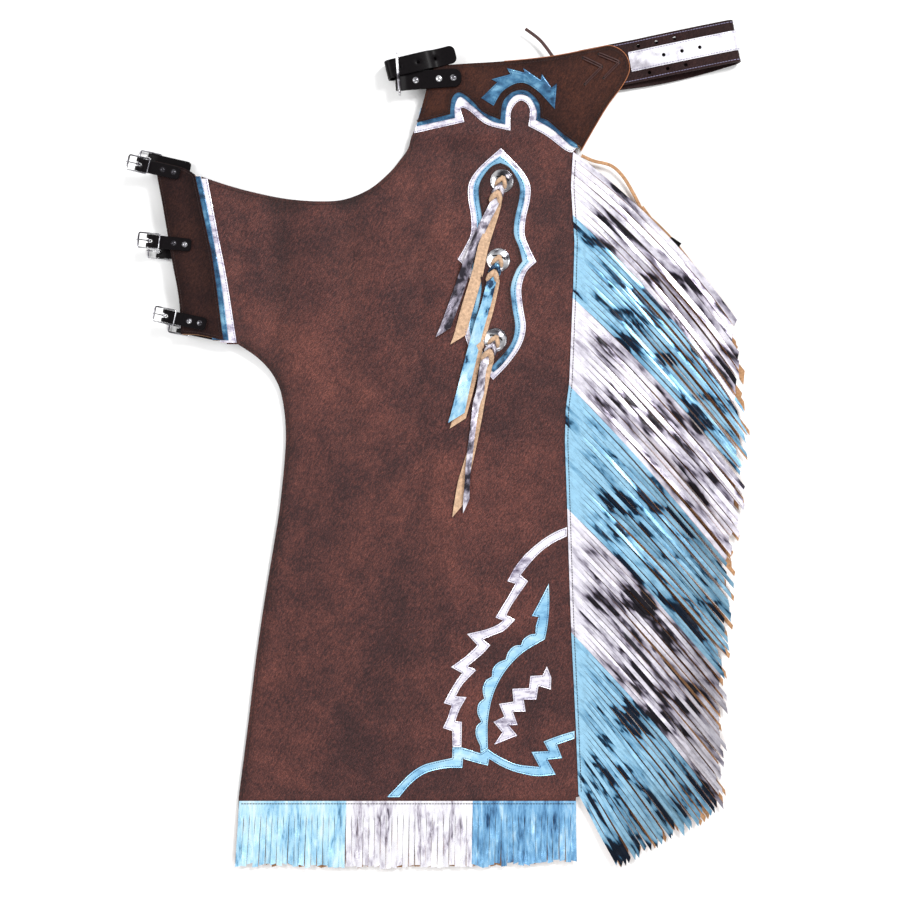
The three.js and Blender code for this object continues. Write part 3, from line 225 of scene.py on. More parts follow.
# Columns: across, up and the turn in degrees; FAR_SLIP is how far the far leg's ones lie aside
THIGH_BUCKLES = [(-8.4, 84.4, -12.8), (-5.8, 74.3, -6), (-1.9, 64.4, -12)]
FAR_SLIP = [(2.2, 0.9), (1.9, -1.2), (3.2, -1.3)]
LEG_BILLET = [(105.6, 83.9), (110.8, 81.6), (115.6, 78.6), (120.2, 75.5), (125.5, 73.4)]
LEG_BILLET_WIDTH = 17 * MM
LACE_TAIL = [(87.5, 102.6), (91.5, 100.9), (95.5, 98.0)]
LACE_WIDTH = 4 * MM
LACE_LEATHER = 1.4 * MM
YOKE_LACES = [
    [(101.8, 98.7), (106.5, 97.5), (102.3, 95.2)], [(105.8, 99.2), (110.8, 98.1), (107.0, 96.0)],
]
BELT_START = (101.5, 96.9)
BELT_END = (140.2, 101.0)
WAIST_STRAP_END = (71.6, 96.0)
# Columns: along the belt, and its rise towards the loop as a share
BELT_RISE = [(0.8, 0.93), (0.66, 0.75), (0.5, 0.4), (0.38, 0), (0, 0)]
# Columns: along the belt, and aside in shares of its width
BELT_HOLES = [
    (0.43, 0), (0.55, 0), (0.67, 0), (0.79, 0), (0.4, 0.33), (0.52, 0.33), (0.64, 0.33),
    (0.44, -0.33), (0.56, -0.33), (0.68, -0.33),
]
WAIST_RIVETS = [0.27, 0.64, 0.87]


# The places of the tables in the frame, from the conchos and the first thigh buckle
def middle_of(node):
    low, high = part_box(node)
    return (Vector(low) + Vector(high)) / 2


TOP_CONCHO = middle_of("concho_1")
ACROSS = (TOP_CONCHO.x - middle_of("tab_buckle_1").x) / (CONCHOS[0][0] - THIGH_BUCKLES[0][0])
UP = (TOP_CONCHO.y - middle_of("concho_3").y) / (CONCHOS[0][1] - CONCHOS[2][1])


def place(across, up):
    """Returns the spot in the frame of a table's across and up."""
    return Vector((TOP_CONCHO.x + (across - CONCHOS[0][0]) * ACROSS,
                   TOP_CONCHO.y + (up - CONCHOS[0][1]) * UP))


def shares(spot):
    """Returns a spot's across and up."""
    return (CONCHOS[0][0] + (spot[0] - TOP_CONCHO.x) / ACROSS,
            CONCHOS[0][1] + (spot[1] - TOP_CONCHO.y) / UP)


NEAR_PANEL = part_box("near_leg_panel")
TAB_LIFT = NEAR_PANEL[1][2] - NEAR_PANEL[0][2] - PANEL_LEATHER
REST_LEVEL = NEAR_PANEL[0][2] - PANEL_LOW


# The surface between the two legs
WRINKLE = 0.7 * MM
WRINKLE_ACROSS = 17
WRINKLE_UP = 7


def blend_of(a, b, share):
    return a + (b - a) * share


def ease(share):
    return share * share * (3 - 2 * share)


def lift_at(across, up):
    """Returns how high the near leg lies there, from the table of folds."""
    column = next((i for i in range(len(FOLD_ACROSS) - 1) if across <= FOLD_ACROSS[i + 1]),
                  len(FOLD_ACROSS) - 2)
    row = next((i for i in range(len(FOLD_UPS) - 1) if up >= FOLD_UPS[i + 1]), len(FOLD_UPS) - 2)
    s = (across - FOLD_ACROSS[column]) / (FOLD_ACROSS[column + 1] - FOLD_ACROSS[column])
    t = (up - FOLD_UPS[row]) / (FOLD_UPS[row + 1] - FOLD_UPS[row])
    s = ease(min(max(s, 0), 1))
    t = ease(min(max(t, 0), 1))
    low, high = FOLD_LIFTS[row], FOLD_LIFTS[row + 1]
    return ((low[column] * (1 - s) + low[column + 1] * s) * (1 - t)
            + (high[column] * (1 - s) + high[column + 1] * s) * t)


def fade(value, low, high):
    return ease(min(max((value - low) / (high - low), 0), 1))


def level_at(x, y):
    """Returns the height of the surface between the legs, with its folds and wrinkles."""
    across, up = shares((x, y))
    level = REST_LEVEL + lift_at(across, up) * TAB_LIFT
    inside = (fade(across, 14, 30) * fade(95 - across, 0, 12) * fade(up, 3, 14)
              * fade(84 - up, 0, 8))
    if inside > 0:
        wave = noise.noise(Vector((x * WRINKLE_ACROSS, y * WRINKLE_UP, 3.1)))
        wave += 0.4 * noise.noise(Vector((x * WRINKLE_ACROSS * 3, y * WRINKLE_UP * 3, 8.7)))
        level += inside * WRINKLE * (0.6 + wave)
    return level


# Lines
LINE_STEP = 2.6 * MM


def curve(here, there, leave, arrive, t):
    """Returns the point at share t of a curve between two points, from how it leaves and arrives."""
    return ((2 * t**3 - 3 * t**2 + 1) * here + (t**3 - 2 * t**2 + t) * leave
            + (3 * t**2 - 2 * t**3) * there + (t**3 - t**2) * arrive)


def smooth(rows, closed=True, step=LINE_STEP):
    """Returns a line through the rows of a table, round between its sharp points."""
    count = len(rows)
    points = [place(row[0], row[1]) for row in rows]
    sharp = [len(row) > 2 and row[2] == S for row in rows]
    if not closed:
        sharp[0] = sharp[-1] = True
    line = []
    for i in range(count if closed else count - 1):
        j = (i + 1) % count
        here, there = points[i], points[j]
        before = here if sharp[i] else points[i - 1]
        after = there if sharp[j] else points[(i + 2) % count]
        pieces = max(1, round((there - here).length / step))
        line += [curve(here, there, (there - before) / 2, (after - here) / 2, k / pieces)
                 for k in range(pieces)]
    return line if closed else line + [points[-1]]


def area_of(line):
    return sum(a.x * b.y - b.x * a.y for a, b in zip(line, line[1:] + line[:1])) / 2


def counter_clockwise(line):
    return line if area_of(line) > 0 else line[::-1]


def neighbours(line, i, closed):
    """Returns the points before and after point i of a line."""
    return (line[i - 1] if closed or i else line[0],
            line[(i + 1) % len(line)] if closed or i < len(line) - 1 else line[-1])


def normals_of(line, closed=True):
    """Returns the left-hand normal at each point of a line."""
    normals = []
    for i in range(len(line)):
        back, on = neighbours(line, i, closed)
        along = (on - back).normalized()
        normals.append(Vector((-along.y, along.x)))
    return normals


def as_array(spots):
    """Returns the spots as an array with a row for each."""
    return np.array([tuple(spot) for spot in spots])


def inside_of(spots, line):
    """Says which of an array of spots lie inside a closed line."""
    edges = as_array(line)
    within = np.zeros(len(spots), dtype=bool)
    for (x1, y1), (x2, y2) in zip(edges, np.roll(edges, -1, axis=0)):
        if y1 != y2:
            crosses = (spots[:, 1] > y1) != (spots[:, 1] > y2)
            within ^= crosses & (spots[:, 0] < (x2 - x1) * (spots[:, 1] - y1) / (y2 - y1) + x1)
    return within


def distance_to(spots, line):
    """Returns how far each of an array of spots lies from a closed line."""
    edges = as_array(line)
    nearest = np.full(len(spots), 1e9)
    for start, end in zip(edges, np.roll(edges, -1, axis=0)):
        along = end - start
        share = np.clip(((spots - start) @ along) / max(along @ along, 1e-12), 0, 1)
        away = spots - (start + share[:, None] * along)
        nearest = np.minimum(nearest, np.hypot(away[:, 0], away[:, 1]))
    return nearest


def circle(radius, sides):
    """Returns the points of a circle round the origin."""
    turns = [2 * math.pi * k / sides for k in range(sides)]
    return [(radius * math.cos(turn), radius * math.sin(turn)) for turn in turns]


def add_object(name, data):
    made = bpy.data.objects.new(name, data)
    bpy.context.scene.collection.objects.link(made)
    return made


# Meshes
class Shape:
    """Collects the faces of one piece."""

    def __init__(self):
        self.spots = []
        self.faces = []
        self.finishes = []

    def add(self, spots, faces, finish=0, flip=False):
        """Adds faces on new spots; finish is one number or one for each face."""
        start = len(self.spots)
        self.spots += [tuple(spot) for spot in spots]
        kinds = finish if hasattr(finish, "__len__") else [finish] * len(faces)
        for face, kind in zip(faces, kinds):
            corners = [start + i for i in face]
            self.faces.append(corners[::-1] if flip else corners)
            self.finishes.append(kind)

    def tube(self, path, radius, closed=False, sides=12, finish=0):
        """Adds a round wire along a path; radius is one number or one for each point."""
        count = len(path)
        radii = radius if hasattr(radius, "__len__") else [radius] * count
        rings = []
        aside = None
        for i, spot in enumerate(path):
            back, on = neighbours(path, i, closed)
            along = (Vector(on) - Vector(back)).normalized()
            if aside is None:
                aside = along.orthogonal()
            aside = (aside - along * aside.dot(along)).normalized()
            other = along.cross(aside)
            rings += [Vector(spot) + radii[i] * (aside * x + other * y) for x, y in circle(1, sides)]
        faces = []
        for i in range(count if closed else count - 1):
            j = (i + 1) % count
            for k in range(sides):
                after = (k + 1) % sides
                faces.append((i * sides + k, i * sides + after, j * sides + after, j * sides + k))
        if not closed:
            faces += [tuple(range(sides))[::-1], tuple(range((count - 1) * sides, count * sides))]
        self.add(rings, faces, finish)

    def lathe(self, profile, spot, sides=24, finish=0, side=1):
        """Adds a round piece; the profile goes from the rim's foot to the middle of the top."""
        spots = [(spot[0] + x, spot[1] + y, spot[2] + side * high)
                 for out, high in profile for x, y in circle(out, sides)]
        faces = []
        for i in range(len(profile) - 1):
            for k in range(sides):
                after = (k + 1) % sides
                faces.append((i * sides + k, i * sides + after,
                              (i + 1) * sides + after, (i + 1) * sides + k))
        faces += [tuple(range((len(profile) - 1) * sides, len(profile) * sides)),
                  tuple(range(sides))[::-1]]
        self.add(spots, faces, finish, side < 0)

    def ribbon(self, spots, flip=False, first=0):
        """Adds a band of leather with seven corners at each station, five of them on its top.

        First is the corner that a face starts at, and from which it is split in two."""
        count = len(spots) // 7
        faces = [(k * 7 + i, (k + 1) * 7 + i, (k + 1) * 7 + (i + 1) % 7, k * 7 + (i + 1) % 7)
                 for k in range(count - 1) for i in range(7)]
        faces = [face[first:] + face[:first] for face in faces]
        kinds = [0 if i < 4 else 1 for k in range(count - 1) for i in range(7)]
        ends = [tuple(range(7)), tuple(range((count - 1) * 7, count * 7))[::-1]]
        self.add(spots, faces + ends, kinds + [1, 1], flip)

    def make(self, name, materials, slot, nodes=(), body=BODY, angle=38):
        mesh = bpy.data.meshes.new(name)
        mesh.from_pydata(self.spots, [], self.faces)
        for material in materials:
            mesh.materials.append(material)
        mesh.polygons.foreach_set("material_index", self.finishes)
        mesh.polygons.foreach_set("use_smooth", [True] * len(self.faces))
        mesh.set_sharp_from_angle(angle=math.radians(angle))
        mesh.update()
        piece = add_object(name, mesh)
        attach(piece, body)
        if nodes:
            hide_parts(*nodes)
        return piece


# How far a cut's rim is rounded, in shares of its leather, how wide the painted shade along its edge
# reaches, and how high a row of its triangles is, in shares of their sides
RIM_ROUND = 0.28
EDGE_DARK = 20 * MM
ROW_HEIGHT = 0.866


def cut(outline, holes=(), cell=4 * MM, edge=0.5 * MM):
    """Returns the spots and triangles of a flat cut, and the edges of its rim."""
    rings = [counter_clockwise(list(outline))] + [list(hole) for hole in holes]
    spots = [Vector(spot) for ring in rings for spot in ring]
    edges = []
    for ring in rings:
        start = len(edges)
        edges += [(start + i, start + (i + 1) % len(ring)) for i in range(len(ring))]

    def inside(array):
        keep = inside_of(array, rings[0])
        for hole in rings[1:]:
            keep &= ~inside_of(array, hole)
        return keep

    rim = as_array(spots)
    low, high = rim.min(0), rim.max(0)
    rows = np.arange(low[1], high[1], cell * ROW_HEIGHT)
    grid = [(x, y) for k, y in enumerate(rows)
            for x in np.arange(low[0] + (k % 2) * cell / 2, high[0], cell)]
    inset = [spot + normal * edge for spot, normal in zip(rings[0], normals_of(rings[0]))]
    for extra, clear in ((np.array(grid).reshape(-1, 2), 0.5 * cell), (as_array(inset), 0.8 * edge)):
        if len(extra):
            keep = inside(extra)
            for ring in rings:
                keep &= distance_to(extra, ring) > clear
            spots += [Vector(spot) for spot in extra[keep]]
    flat, _, triangles, *_ = delaunay_2d_cdt(spots, edges, [], 0, 1e-7)
    kept = []
    for triangle, within in zip(triangles, inside(as_array(flat)[np.array(triangles)].mean(axis=1))):
        a, b, c = (flat[i] for i in triangle)
        area = (b - a).cross(c - a)
        if within and abs(area) > 1e-12:
            kept.append(tuple(triangle) if area > 0 else tuple(triangle)[::-1])
    used = {pair: True for a, b, c in kept for pair in ((a, b), (b, c), (c, a))}
    return flat, kept, [pair for pair in used if (pair[1], pair[0]) not in used]


def thicken(shape, sheet, top_at, bottom_at, flip=False, finish=0, back=None, wall=None):
    """Adds a cut piece of leather, with its top and its bottom where the two maps say."""
    flat, triangles, rim_edges = sheet
    rim = {i for pair in rim_edges for i in pair}
    tops, bottoms = [], []
    for i, spot in enumerate(flat):
        top = Vector(top_at(spot.x, spot.y))
        bottom = Vector(bottom_at(spot.x, spot.y))
        if i in rim:
            top, bottom = top.lerp(bottom, RIM_ROUND), bottom.lerp(top, RIM_ROUND)
        tops.append(top)
        bottoms.append(bottom)
    count = len(flat)
    faces = (triangles + [(c + count, b + count, a + count) for a, b, c in triangles]
             + [(b, a, a + count, b + count) for a, b in rim_edges])
    kinds = ([finish] * len(triangles) + [finish if back is None else back] * len(triangles)
             + [finish if wall is None else wall] * len(rim_edges))
    shape.add(tops + bottoms, faces, kinds, flip)


def painted_edge_and_valley_shade(flat, outline):
    """Returns how bright each spot is painted: painted shade darkens the leather towards its edge and in
    a valley.
    """
    shades = []
    for spot, reach in zip(flat, distance_to(as_array(flat), outline)):
        across, up = shares(spot)
        valley = (lift_at(across - 5, up) + lift_at(across + 5, up)) / 2 - lift_at(across, up)
        uneven = 0.5 + 0.5 * noise.noise(Vector((spot.x * 7, spot.y * 7, 1.7)))
        edge = 1 - fade(reach, 0, blend_of(EDGE_DARK / 2, EDGE_DARK * 1.6, uneven))
        shades.append(min(1, max(0, 1 - 0.55 * edge - 1.6 * valley)))
    return shades


def leather_piece(name, outline, low, high, material, slot, nodes=(), side=1, cell=4 * MM,
                  backing=None, wall=None):
    """Makes a flat piece that follows the surface between the legs, on its near or far side."""
    shape = Shape()
    sheet = cut(outline, (), cell)
    levels = {}

    def at(x, y, height):
        if (x, y) not in levels:
            levels[x, y] = level_at(x, y)
        return (x, y, levels[x, y] + side * height)

    thicken(shape, sheet, lambda x, y: at(x, y, high), lambda x, y: at(x, y, low), side < 0, 0,
            1 if backing else None, 1 if wall else None)
    extra = backing or wall
    piece = shape.make(name + "_leather", [material] + ([extra] if extra else []), slot, nodes)
    # The shade attribute carries painted shade: darker towards the piece's edge and in the valleys of its
    # folds.
    shade = piece.data.attributes.new("shade", "FLOAT", "POINT")
    shade.data.foreach_set("value", painted_edge_and_valley_shade(sheet[0], counter_clockwise(list(outline))) * 2)
    return piece


def line_between(line, step):
    """Returns a line's points at even steps, with its ends."""
    lengths = [0]
    for a, b in zip(line, line[1:]):
        lengths.append(lengths[-1] + (b - a).length)
    count = max(1, round(lengths[-1] / step))
    spots = []
    k = 0
    for i in range(count + 1):
        reach = lengths[-1] * i / count
        while k < len(line) - 2 and lengths[k + 1] < reach:
            k += 1
        share = (reach - lengths[k]) / max(lengths[k + 1] - lengths[k], 1e-9)
        spots.append(line[k].lerp(line[k + 1], min(max(share, 0), 1)))
    return spots


# Stitches
STITCH = 2.3 * MM
STITCH_GAP = 1.1 * MM
STITCH_RADIUS = 0.4 * MM


def on_leather(spot, height):
    """Returns a spot at a height over the surface between the legs."""
    return Vector((spot.x, spot.y, level_at(spot.x, spot.y) + height))


def stitch_line(shape, line, height, finish=0):
    """Adds a row of stitches along a line, at a height over the surface between the legs."""
    spots = line_between(line, STITCH + STITCH_GAP)
    for a, b in zip(spots, spots[1:]):
        gap = STITCH_GAP / 2 / max((b - a).length, 1e-9)
        start, end = a.lerp(b, gap), a.lerp(b, 1 - gap)
        shape.tube([on_leather(start.lerp(end, share), height + rise * MM) for share, rise in
                    ((0, -0.2), (0.14, 0.16), (0.5, 0.28), (0.86, 0.16), (1, -0.2))],
                   STITCH_RADIUS, sides=6, finish=finish)


def inset_line(line, distance):
    """Returns a closed line moved inwards, without the points that come too near the line."""
    ring = counter_clockwise(list(line))
    moved = [spot + normal * distance for spot, normal in zip(ring, normals_of(ring))]
    array = as_array(moved)
    keep = inside_of(array, ring) & (distance_to(array, ring) > 0.9 * distance)
    return [spot for spot, kept in zip(moved, keep) if kept]


# Materials
def colour(red, green, blue):
    """Returns a colour of the usual 0 to 255 as a shader's values."""
    values = [value / 255 for value in (red, green, blue)]
    return [v / 12.92 if v <= 0.04 else ((v + 0.055) / 1.055)**2.4 for v in values] + [1]


class Finish:
    """A material's nodes, fed by the piece's own coordinates in metres."""

    def __init__(self, name, roughness=0.5, metallic=0, specular=0.5):
        self.material = bpy.data.materials.new(name)
        self.material.use_nodes = True
        self.tree = self.material.node_tree
        self.shader = self.tree.nodes["Principled BSDF"]
        self.shader.inputs["Roughness"].default_value = roughness
        self.shader.inputs["Metallic"].default_value = metallic
        self.shader.inputs["Specular IOR Level"].default_value = specular
        self.coordinates = self.tree.nodes.new("ShaderNodeTexCoord").outputs["Object"]

    def join(self, output, socket):
        self.tree.links.new(output, socket)

    def node(self, kind, inputs, **settings):
        """Adds a node; each of its inputs gets a value, or the output of another node."""
        made = self.tree.nodes.new("ShaderNode" + kind)
        for name, value in settings.items():
            setattr(made, name, value)
        for name, value in inputs.items():
            if isinstance(value, bpy.types.NodeSocket):
                self.join(value, made.inputs[name])
            else:
                made.inputs[name].default_value = value
        return made

    def stretched(self, turn, scale):
        """Returns the coordinates turned in plan by degrees and scaled along each axis."""
        turned = self.node("Mapping", {"Vector": self.coordinates,
                                       "Rotation": (0, 0, math.radians(-turn))})
        return self.node("Mapping", {"Vector": turned.outputs["Vector"],
                                     "Scale": scale}).outputs["Vector"]

    def noise(self, scale, detail=4, roughness=0.55, distortion=0, vector=None):
        return self.node("TexNoise", {
            "Scale": scale, "Detail": detail, "Roughness": roughness, "Distortion": distortion,
            "Vector": vector or self.coordinates}).outputs["Fac"]

    def cells(self, scale):
        return self.node("TexVoronoi", {"Scale": scale, "Vector": self.coordinates},
                         feature="DISTANCE_TO_EDGE").outputs["Distance"]

    def ramp(self, source, stops):
        """Returns a ramp's colour; each stop has its place and a grey, or red, green and blue."""
        node = self.node("ValToRGB", {"Fac": source})
        elements = node.color_ramp.elements
        while len(elements) < len(stops):
            elements.new(0.5)
        for element, (position, *tone) in zip(elements, stops):
            element.position = position
            element.color = colour(*tone) if len(tone) == 3 else [tone[0]] * 3 + [1]
        return node.outputs["Color"]

    def sum(self, *parts):
        """Returns the weighted sum of the outputs in pairs (output, weight)."""
        total = 0
        for output, weight in parts:
            total = self.node("Math", {0: output, 1: weight, 2: total},
                              operation="MULTIPLY_ADD").outputs["Value"]
        return total

    def times(self, first, second, share=1):
        """Returns the first colour multiplied by the second one."""
        return self.node("Mix", {0: share, 6: first, 7: second}, data_type="RGBA",
                         blend_type="MULTIPLY").outputs[2]

    def bump(self, height, distance, strength=1, under=None):
        inputs = {"Distance": distance, "Strength": strength, "Height": height}
        if under is not None:
            inputs["Normal"] = under
        normal = self.node("Bump", inputs).outputs["Normal"]
        self.join(normal, self.shader.inputs["Normal"])
        return normal

    def attribute(self, name):
        return self.node("Attribute", {}, attribute_name=name).outputs["Fac"]

    def paint(self, output):
        self.join(output, self.shader.inputs["Base Color"])

    def rough(self, output):
        self.join(output, self.shader.inputs["Roughness"])


def leather_finish(name, tones, roughness, grain, depth, specular=0.22, shaded=True):
    """tones are the stops of the mottle from dark to light, grain the pebbles in a metre."""
    finish = Finish(name, specular=specular)
    hide = finish.stretched(62, (1, 2.4, 1))
    mottle = finish.sum((finish.noise(6, 4, 0.6), 0.34), (finish.noise(30, 5, 0.6, 0.4), 0.22),
                        (finish.noise(200, 4, 0.7, 0.3, hide), 0.44))
    pebbles = finish.cells(grain)
    fine = finish.sum((finish.noise(grain * 0.8, 3, 0.6, 0.3, hide), 0.75), (pebbles, 0.6))
    tone = finish.times(finish.ramp(mottle, tones),
                        finish.ramp(fine, [(0.34, 0.38), (0.55, 0.9), (0.74, 1)]))
    # Painted shade: the piece's shade attribute darkens the leather towards its edge and in fold valleys.
    if shaded:
        tone = finish.times(tone, finish.ramp(finish.attribute("shade"),
                                              [(0.3, 0.48), (0.75, 0.86), (1, 1)]))
    finish.paint(tone)
    finish.rough(finish.ramp(mottle, [(0.3, roughness + 0.1), (0.7, roughness - 0.08)]))
    coarse = finish.bump(finish.noise(24, 4, 0.55), 3 * MM, 0.5)
    heights = finish.sum((finish.ramp(pebbles, [(0, 0), (0.3, 1)]), 0.6), (fine, 0.6))
    finish.bump(heights, depth, 1, coarse)
    return finish.material


def foil_finish(name, turn, tones, scale=19, stretch=1.9, crinkle=1, rough=0.27, large=0.62,
                metallic=0.4):
    """tones are the stops from the dark painted reflections to the bright ones, turn their direction."""
    finish = Finish(name, metallic=metallic)
    field = finish.stretched(turn, (1, stretch, 1))
    # Painted reflection: the dark and bright blotches stand in for the studio reflected in the foil.
    painted_reflection = finish.sum((finish.noise(scale, 3, 0.6, 0.6, field), large),
                        (finish.noise(scale * 4.5, 4, 0.6, 0.4, field), 1 - large))
    finish.paint(finish.ramp(painted_reflection, tones))
    finish.rough(finish.ramp(finish.noise(120, 3), [(0.3, rough - 0.08), (0.7, rough + 0.12)]))
    folds = finish.bump(finish.noise(60, 5, 0.6, 0.8), 1.2 * MM, 0.4 * crinkle)
    finish.bump(finish.noise(900, 2), 0.06 * MM, 0.6, folds)
    return finish.material


def strip_finish(name, tones, tips=1):
    """A foil with long dark painted reflections, which end at a different place on each strip.

    tips is the tone of the free ends."""
    finish = Finish(name, metallic=0.4, specular=0.25)
    field = finish.node("VectorMath", {
        0: finish.attribute("strip"), 1: (0.055, 0.2, 0),
        2: finish.stretched(-47, (1, 3.2, 1))}, operation="MULTIPLY_ADD").outputs["Vector"]
    header = finish.ramp(finish.attribute("share"), [(0.07, 0.09), (0.24, 0)])
    # Painted reflection: the long dark patches and the fine darker streaks along each strip stand in for
    # the room reflected in the foil.
    where = finish.sum((finish.noise(17, 3, 0.55, 0.2, field), 0.86),
                       (finish.noise(7, 2, 0.5, 0.3), 0.14), (header, 1))
    fine_painted_reflection = finish.ramp(finish.noise(110, 3, 0.6, 0.3, field), [(0.36, 0.7), (0.52, 1)])
    ends = finish.ramp(finish.attribute("share"), [(0.5, 1), (0.85, tips)])
    finish.paint(finish.times(finish.times(finish.ramp(where, tones), fine_painted_reflection, 0.6), ends))
    finish.rough(finish.ramp(finish.noise(120, 3), [(0.3, 0.2), (0.7, 0.42)]))
    folds = finish.bump(finish.noise(60, 3, 0.5, 0.4, field), 0.9 * MM, 0.35)
    finish.bump(finish.noise(900, 2), 0.05 * MM, 0.5, folds)
    return finish.material


def plain_finish(name, tone, roughness, grain=0, depth=0.1 * MM, specular=0.4):
    """tone is the middle of a soft mottle; grain is the pebbles in a metre, or none."""
    finish = Finish(name, roughness, 0, specular)
    mottle = finish.ramp(finish.noise(grain or 80, 4, 0.6), [(0.3, *tone), (0.7, *tone)])
    for element, share in zip(mottle.node.color_ramp.elements, (0.68, 1.35)):
        element.color = [min(1, value * share) for value in colour(*tone)[:3]] + [1]
    finish.paint(mottle)
    if grain:
        finish.bump(finish.noise(grain * 3, 3), depth, 0.7)
    return finish.material


# Each stop of the tones has its place in the ramp, and red, green and blue from 0 to 255
FINE = (0.5, 800, 0.12 * MM)
BROWN = leather_finish("brown leather", [
    (0.32, 40, 24, 27), (0.45, 70, 40, 40), (0.55, 106, 60, 54), (0.7, 148, 86, 73)],
    0.5, 520, 0.3 * MM)
OVERLAY = leather_finish("overlay leather", [
    (0.3, 30, 18, 18), (0.48, 62, 36, 31), (0.7, 102, 59, 43)], *FINE, 0.08)
TAB_LEATHER = leather_finish("tab leather", [
    (0.3, 26, 16, 17), (0.48, 45, 27, 27), (0.7, 76, 46, 38)], *FINE, 0.08)
BELT = leather_finish("belt leather", [
    (0.3, 26, 17, 18), (0.5, 48, 32, 32), (0.7, 70, 44, 42)], *FINE, 0.07, False)
FLESH = plain_finish("leather's flesh side", (170, 130, 95), 0.9, 400, 0.15 * MM)
EDGE = plain_finish("cut edge", (150, 92, 58), 0.8, 400)
TAN = plain_finish("tan lace", (186, 154, 126), 0.82, 300, 0.12 * MM)
LACE = plain_finish("brown lace", (58, 31, 28), 0.55, 300)
STRAP = plain_finish("strap leather", (11, 8, 10), 0.36, 500, specular=0.08)
THREAD_DARK = plain_finish("brown thread", (38, 20, 18), 0.7)
THREAD_BLUE = plain_finish("blue thread", (36, 84, 124), 0.6)
THREAD_GREY = plain_finish("grey thread", (128, 122, 150), 0.6)
# Painted shade: a dark finish that stands for the shade inside lace holes and the conchos' slots.
HOLE_SHADE = plain_finish("painted shade in holes", (20, 14, 12), 0.8)
YOKE_BLUE = foil_finish("dark blue foil", 0, [
    (0.38, 12, 34, 56), (0.46, 38, 76, 110), (0.54, 64, 114, 150), (0.66, 128, 178, 206)], 18, 1.3)
MEDALLION_BLUE = foil_finish("medallion's blue foil", 0, [
    (0.37, 20, 40, 60), (0.43, 90, 138, 174), (0.5, 132, 182, 214), (0.66, 182, 222, 242)], 12, 1.3)
BLUE = foil_finish("blue foil", 0, [
    (0.28, 84, 138, 182), (0.42, 142, 196, 230), (0.56, 174, 220, 244), (0.7, 216, 242, 251)])
SILVER = foil_finish("silver foil", 0, [
    (0.32, 96, 88, 110), (0.41, 182, 176, 194), (0.48, 230, 226, 238), (0.64, 252, 250, 254)], 26)
BELT_SILVER = foil_finish("silver foil of the belt", 10, [
    (0.3, 110, 106, 118), (0.4, 190, 186, 196), (0.49, 232, 230, 238), (0.64, 252, 250, 254)], 14, 1.2)
BLUE_TONES = [(0.42, 10, 26, 44), (0.442, 34, 76, 106), (0.462, 104, 156, 190), (0.56, 154, 202, 230)]
SILVER_TONES = [(0.404, 26, 23, 30), (0.43, 86, 80, 94), (0.462, 160, 154, 170),
                (0.52, 208, 204, 216), (0.6, 240, 236, 247)]
BLUE_STRIPS = strip_finish("blue foil of the fringe", BLUE_TONES)
SILVER_STRIPS = strip_finish("silver foil of the fringe", SILVER_TONES)
LOW_BLUE_STRIPS = strip_finish("blue foil of the low fringe", BLUE_TONES, 0.62)
LOW_SILVER_STRIPS = strip_finish("silver foil of the low fringe", SILVER_TONES, 0.55)
BLUE_HEM = foil_finish("blue foil of the hem", -90, [
    (0.34, 84, 132, 166), (0.42, 146, 198, 230), (0.52, 184, 226, 246), (0.66, 226, 246, 253)], 16, 5)
DEEP_HEM = foil_finish("deep blue foil of the hem", -90, [
    (0.36, 30, 66, 104), (0.44, 92, 144, 188), (0.54, 128, 182, 222), (0.68, 196, 228, 246)], 16, 5)
SILVER_HEM = foil_finish("silver foil of the hem", -90, [
    (0.34, 84, 78, 92), (0.41, 190, 184, 198), (0.48, 234, 232, 240), (0.68, 252, 252, 254)], 16, 4)
SILVER_STREAMER = foil_finish("silver foil of the strings", 65, [
    (0.42, 40, 36, 46), (0.47, 108, 102, 116), (0.53, 160, 154, 168), (0.56, 212, 208, 218),
    (0.66, 244, 242, 248)], 22)
BLUE_STREAMER = foil_finish("blue foil of the strings", 65, [
    (0.41, 20, 50, 80), (0.445, 96, 150, 188), (0.5, 146, 196, 226), (0.66, 200, 232, 246)], 22)
# Its dark and bright patches are painted reflections, as on the foils.
NICKEL = foil_finish("nickel", 30, [
    (0.4, 60, 58, 62), (0.48, 138, 136, 142), (0.54, 206, 206, 210), (0.62, 246, 246, 248)],
    30, 1.2, 0, 0.2, 0.85, 1)


# The legs: panels, yokes, thigh tabs and their trims


def tab_trim(edge):
    """Returns the rows of a trim under the tab, from its own edge to the tab's."""
    lap = [(across - TAB_TRIM_LAP, up) for across, up, *_ in edge]
    return list(edge) + [(lap[-1][0], lap[-1][1], S), (lap[0][0], lap[0][1], S)]


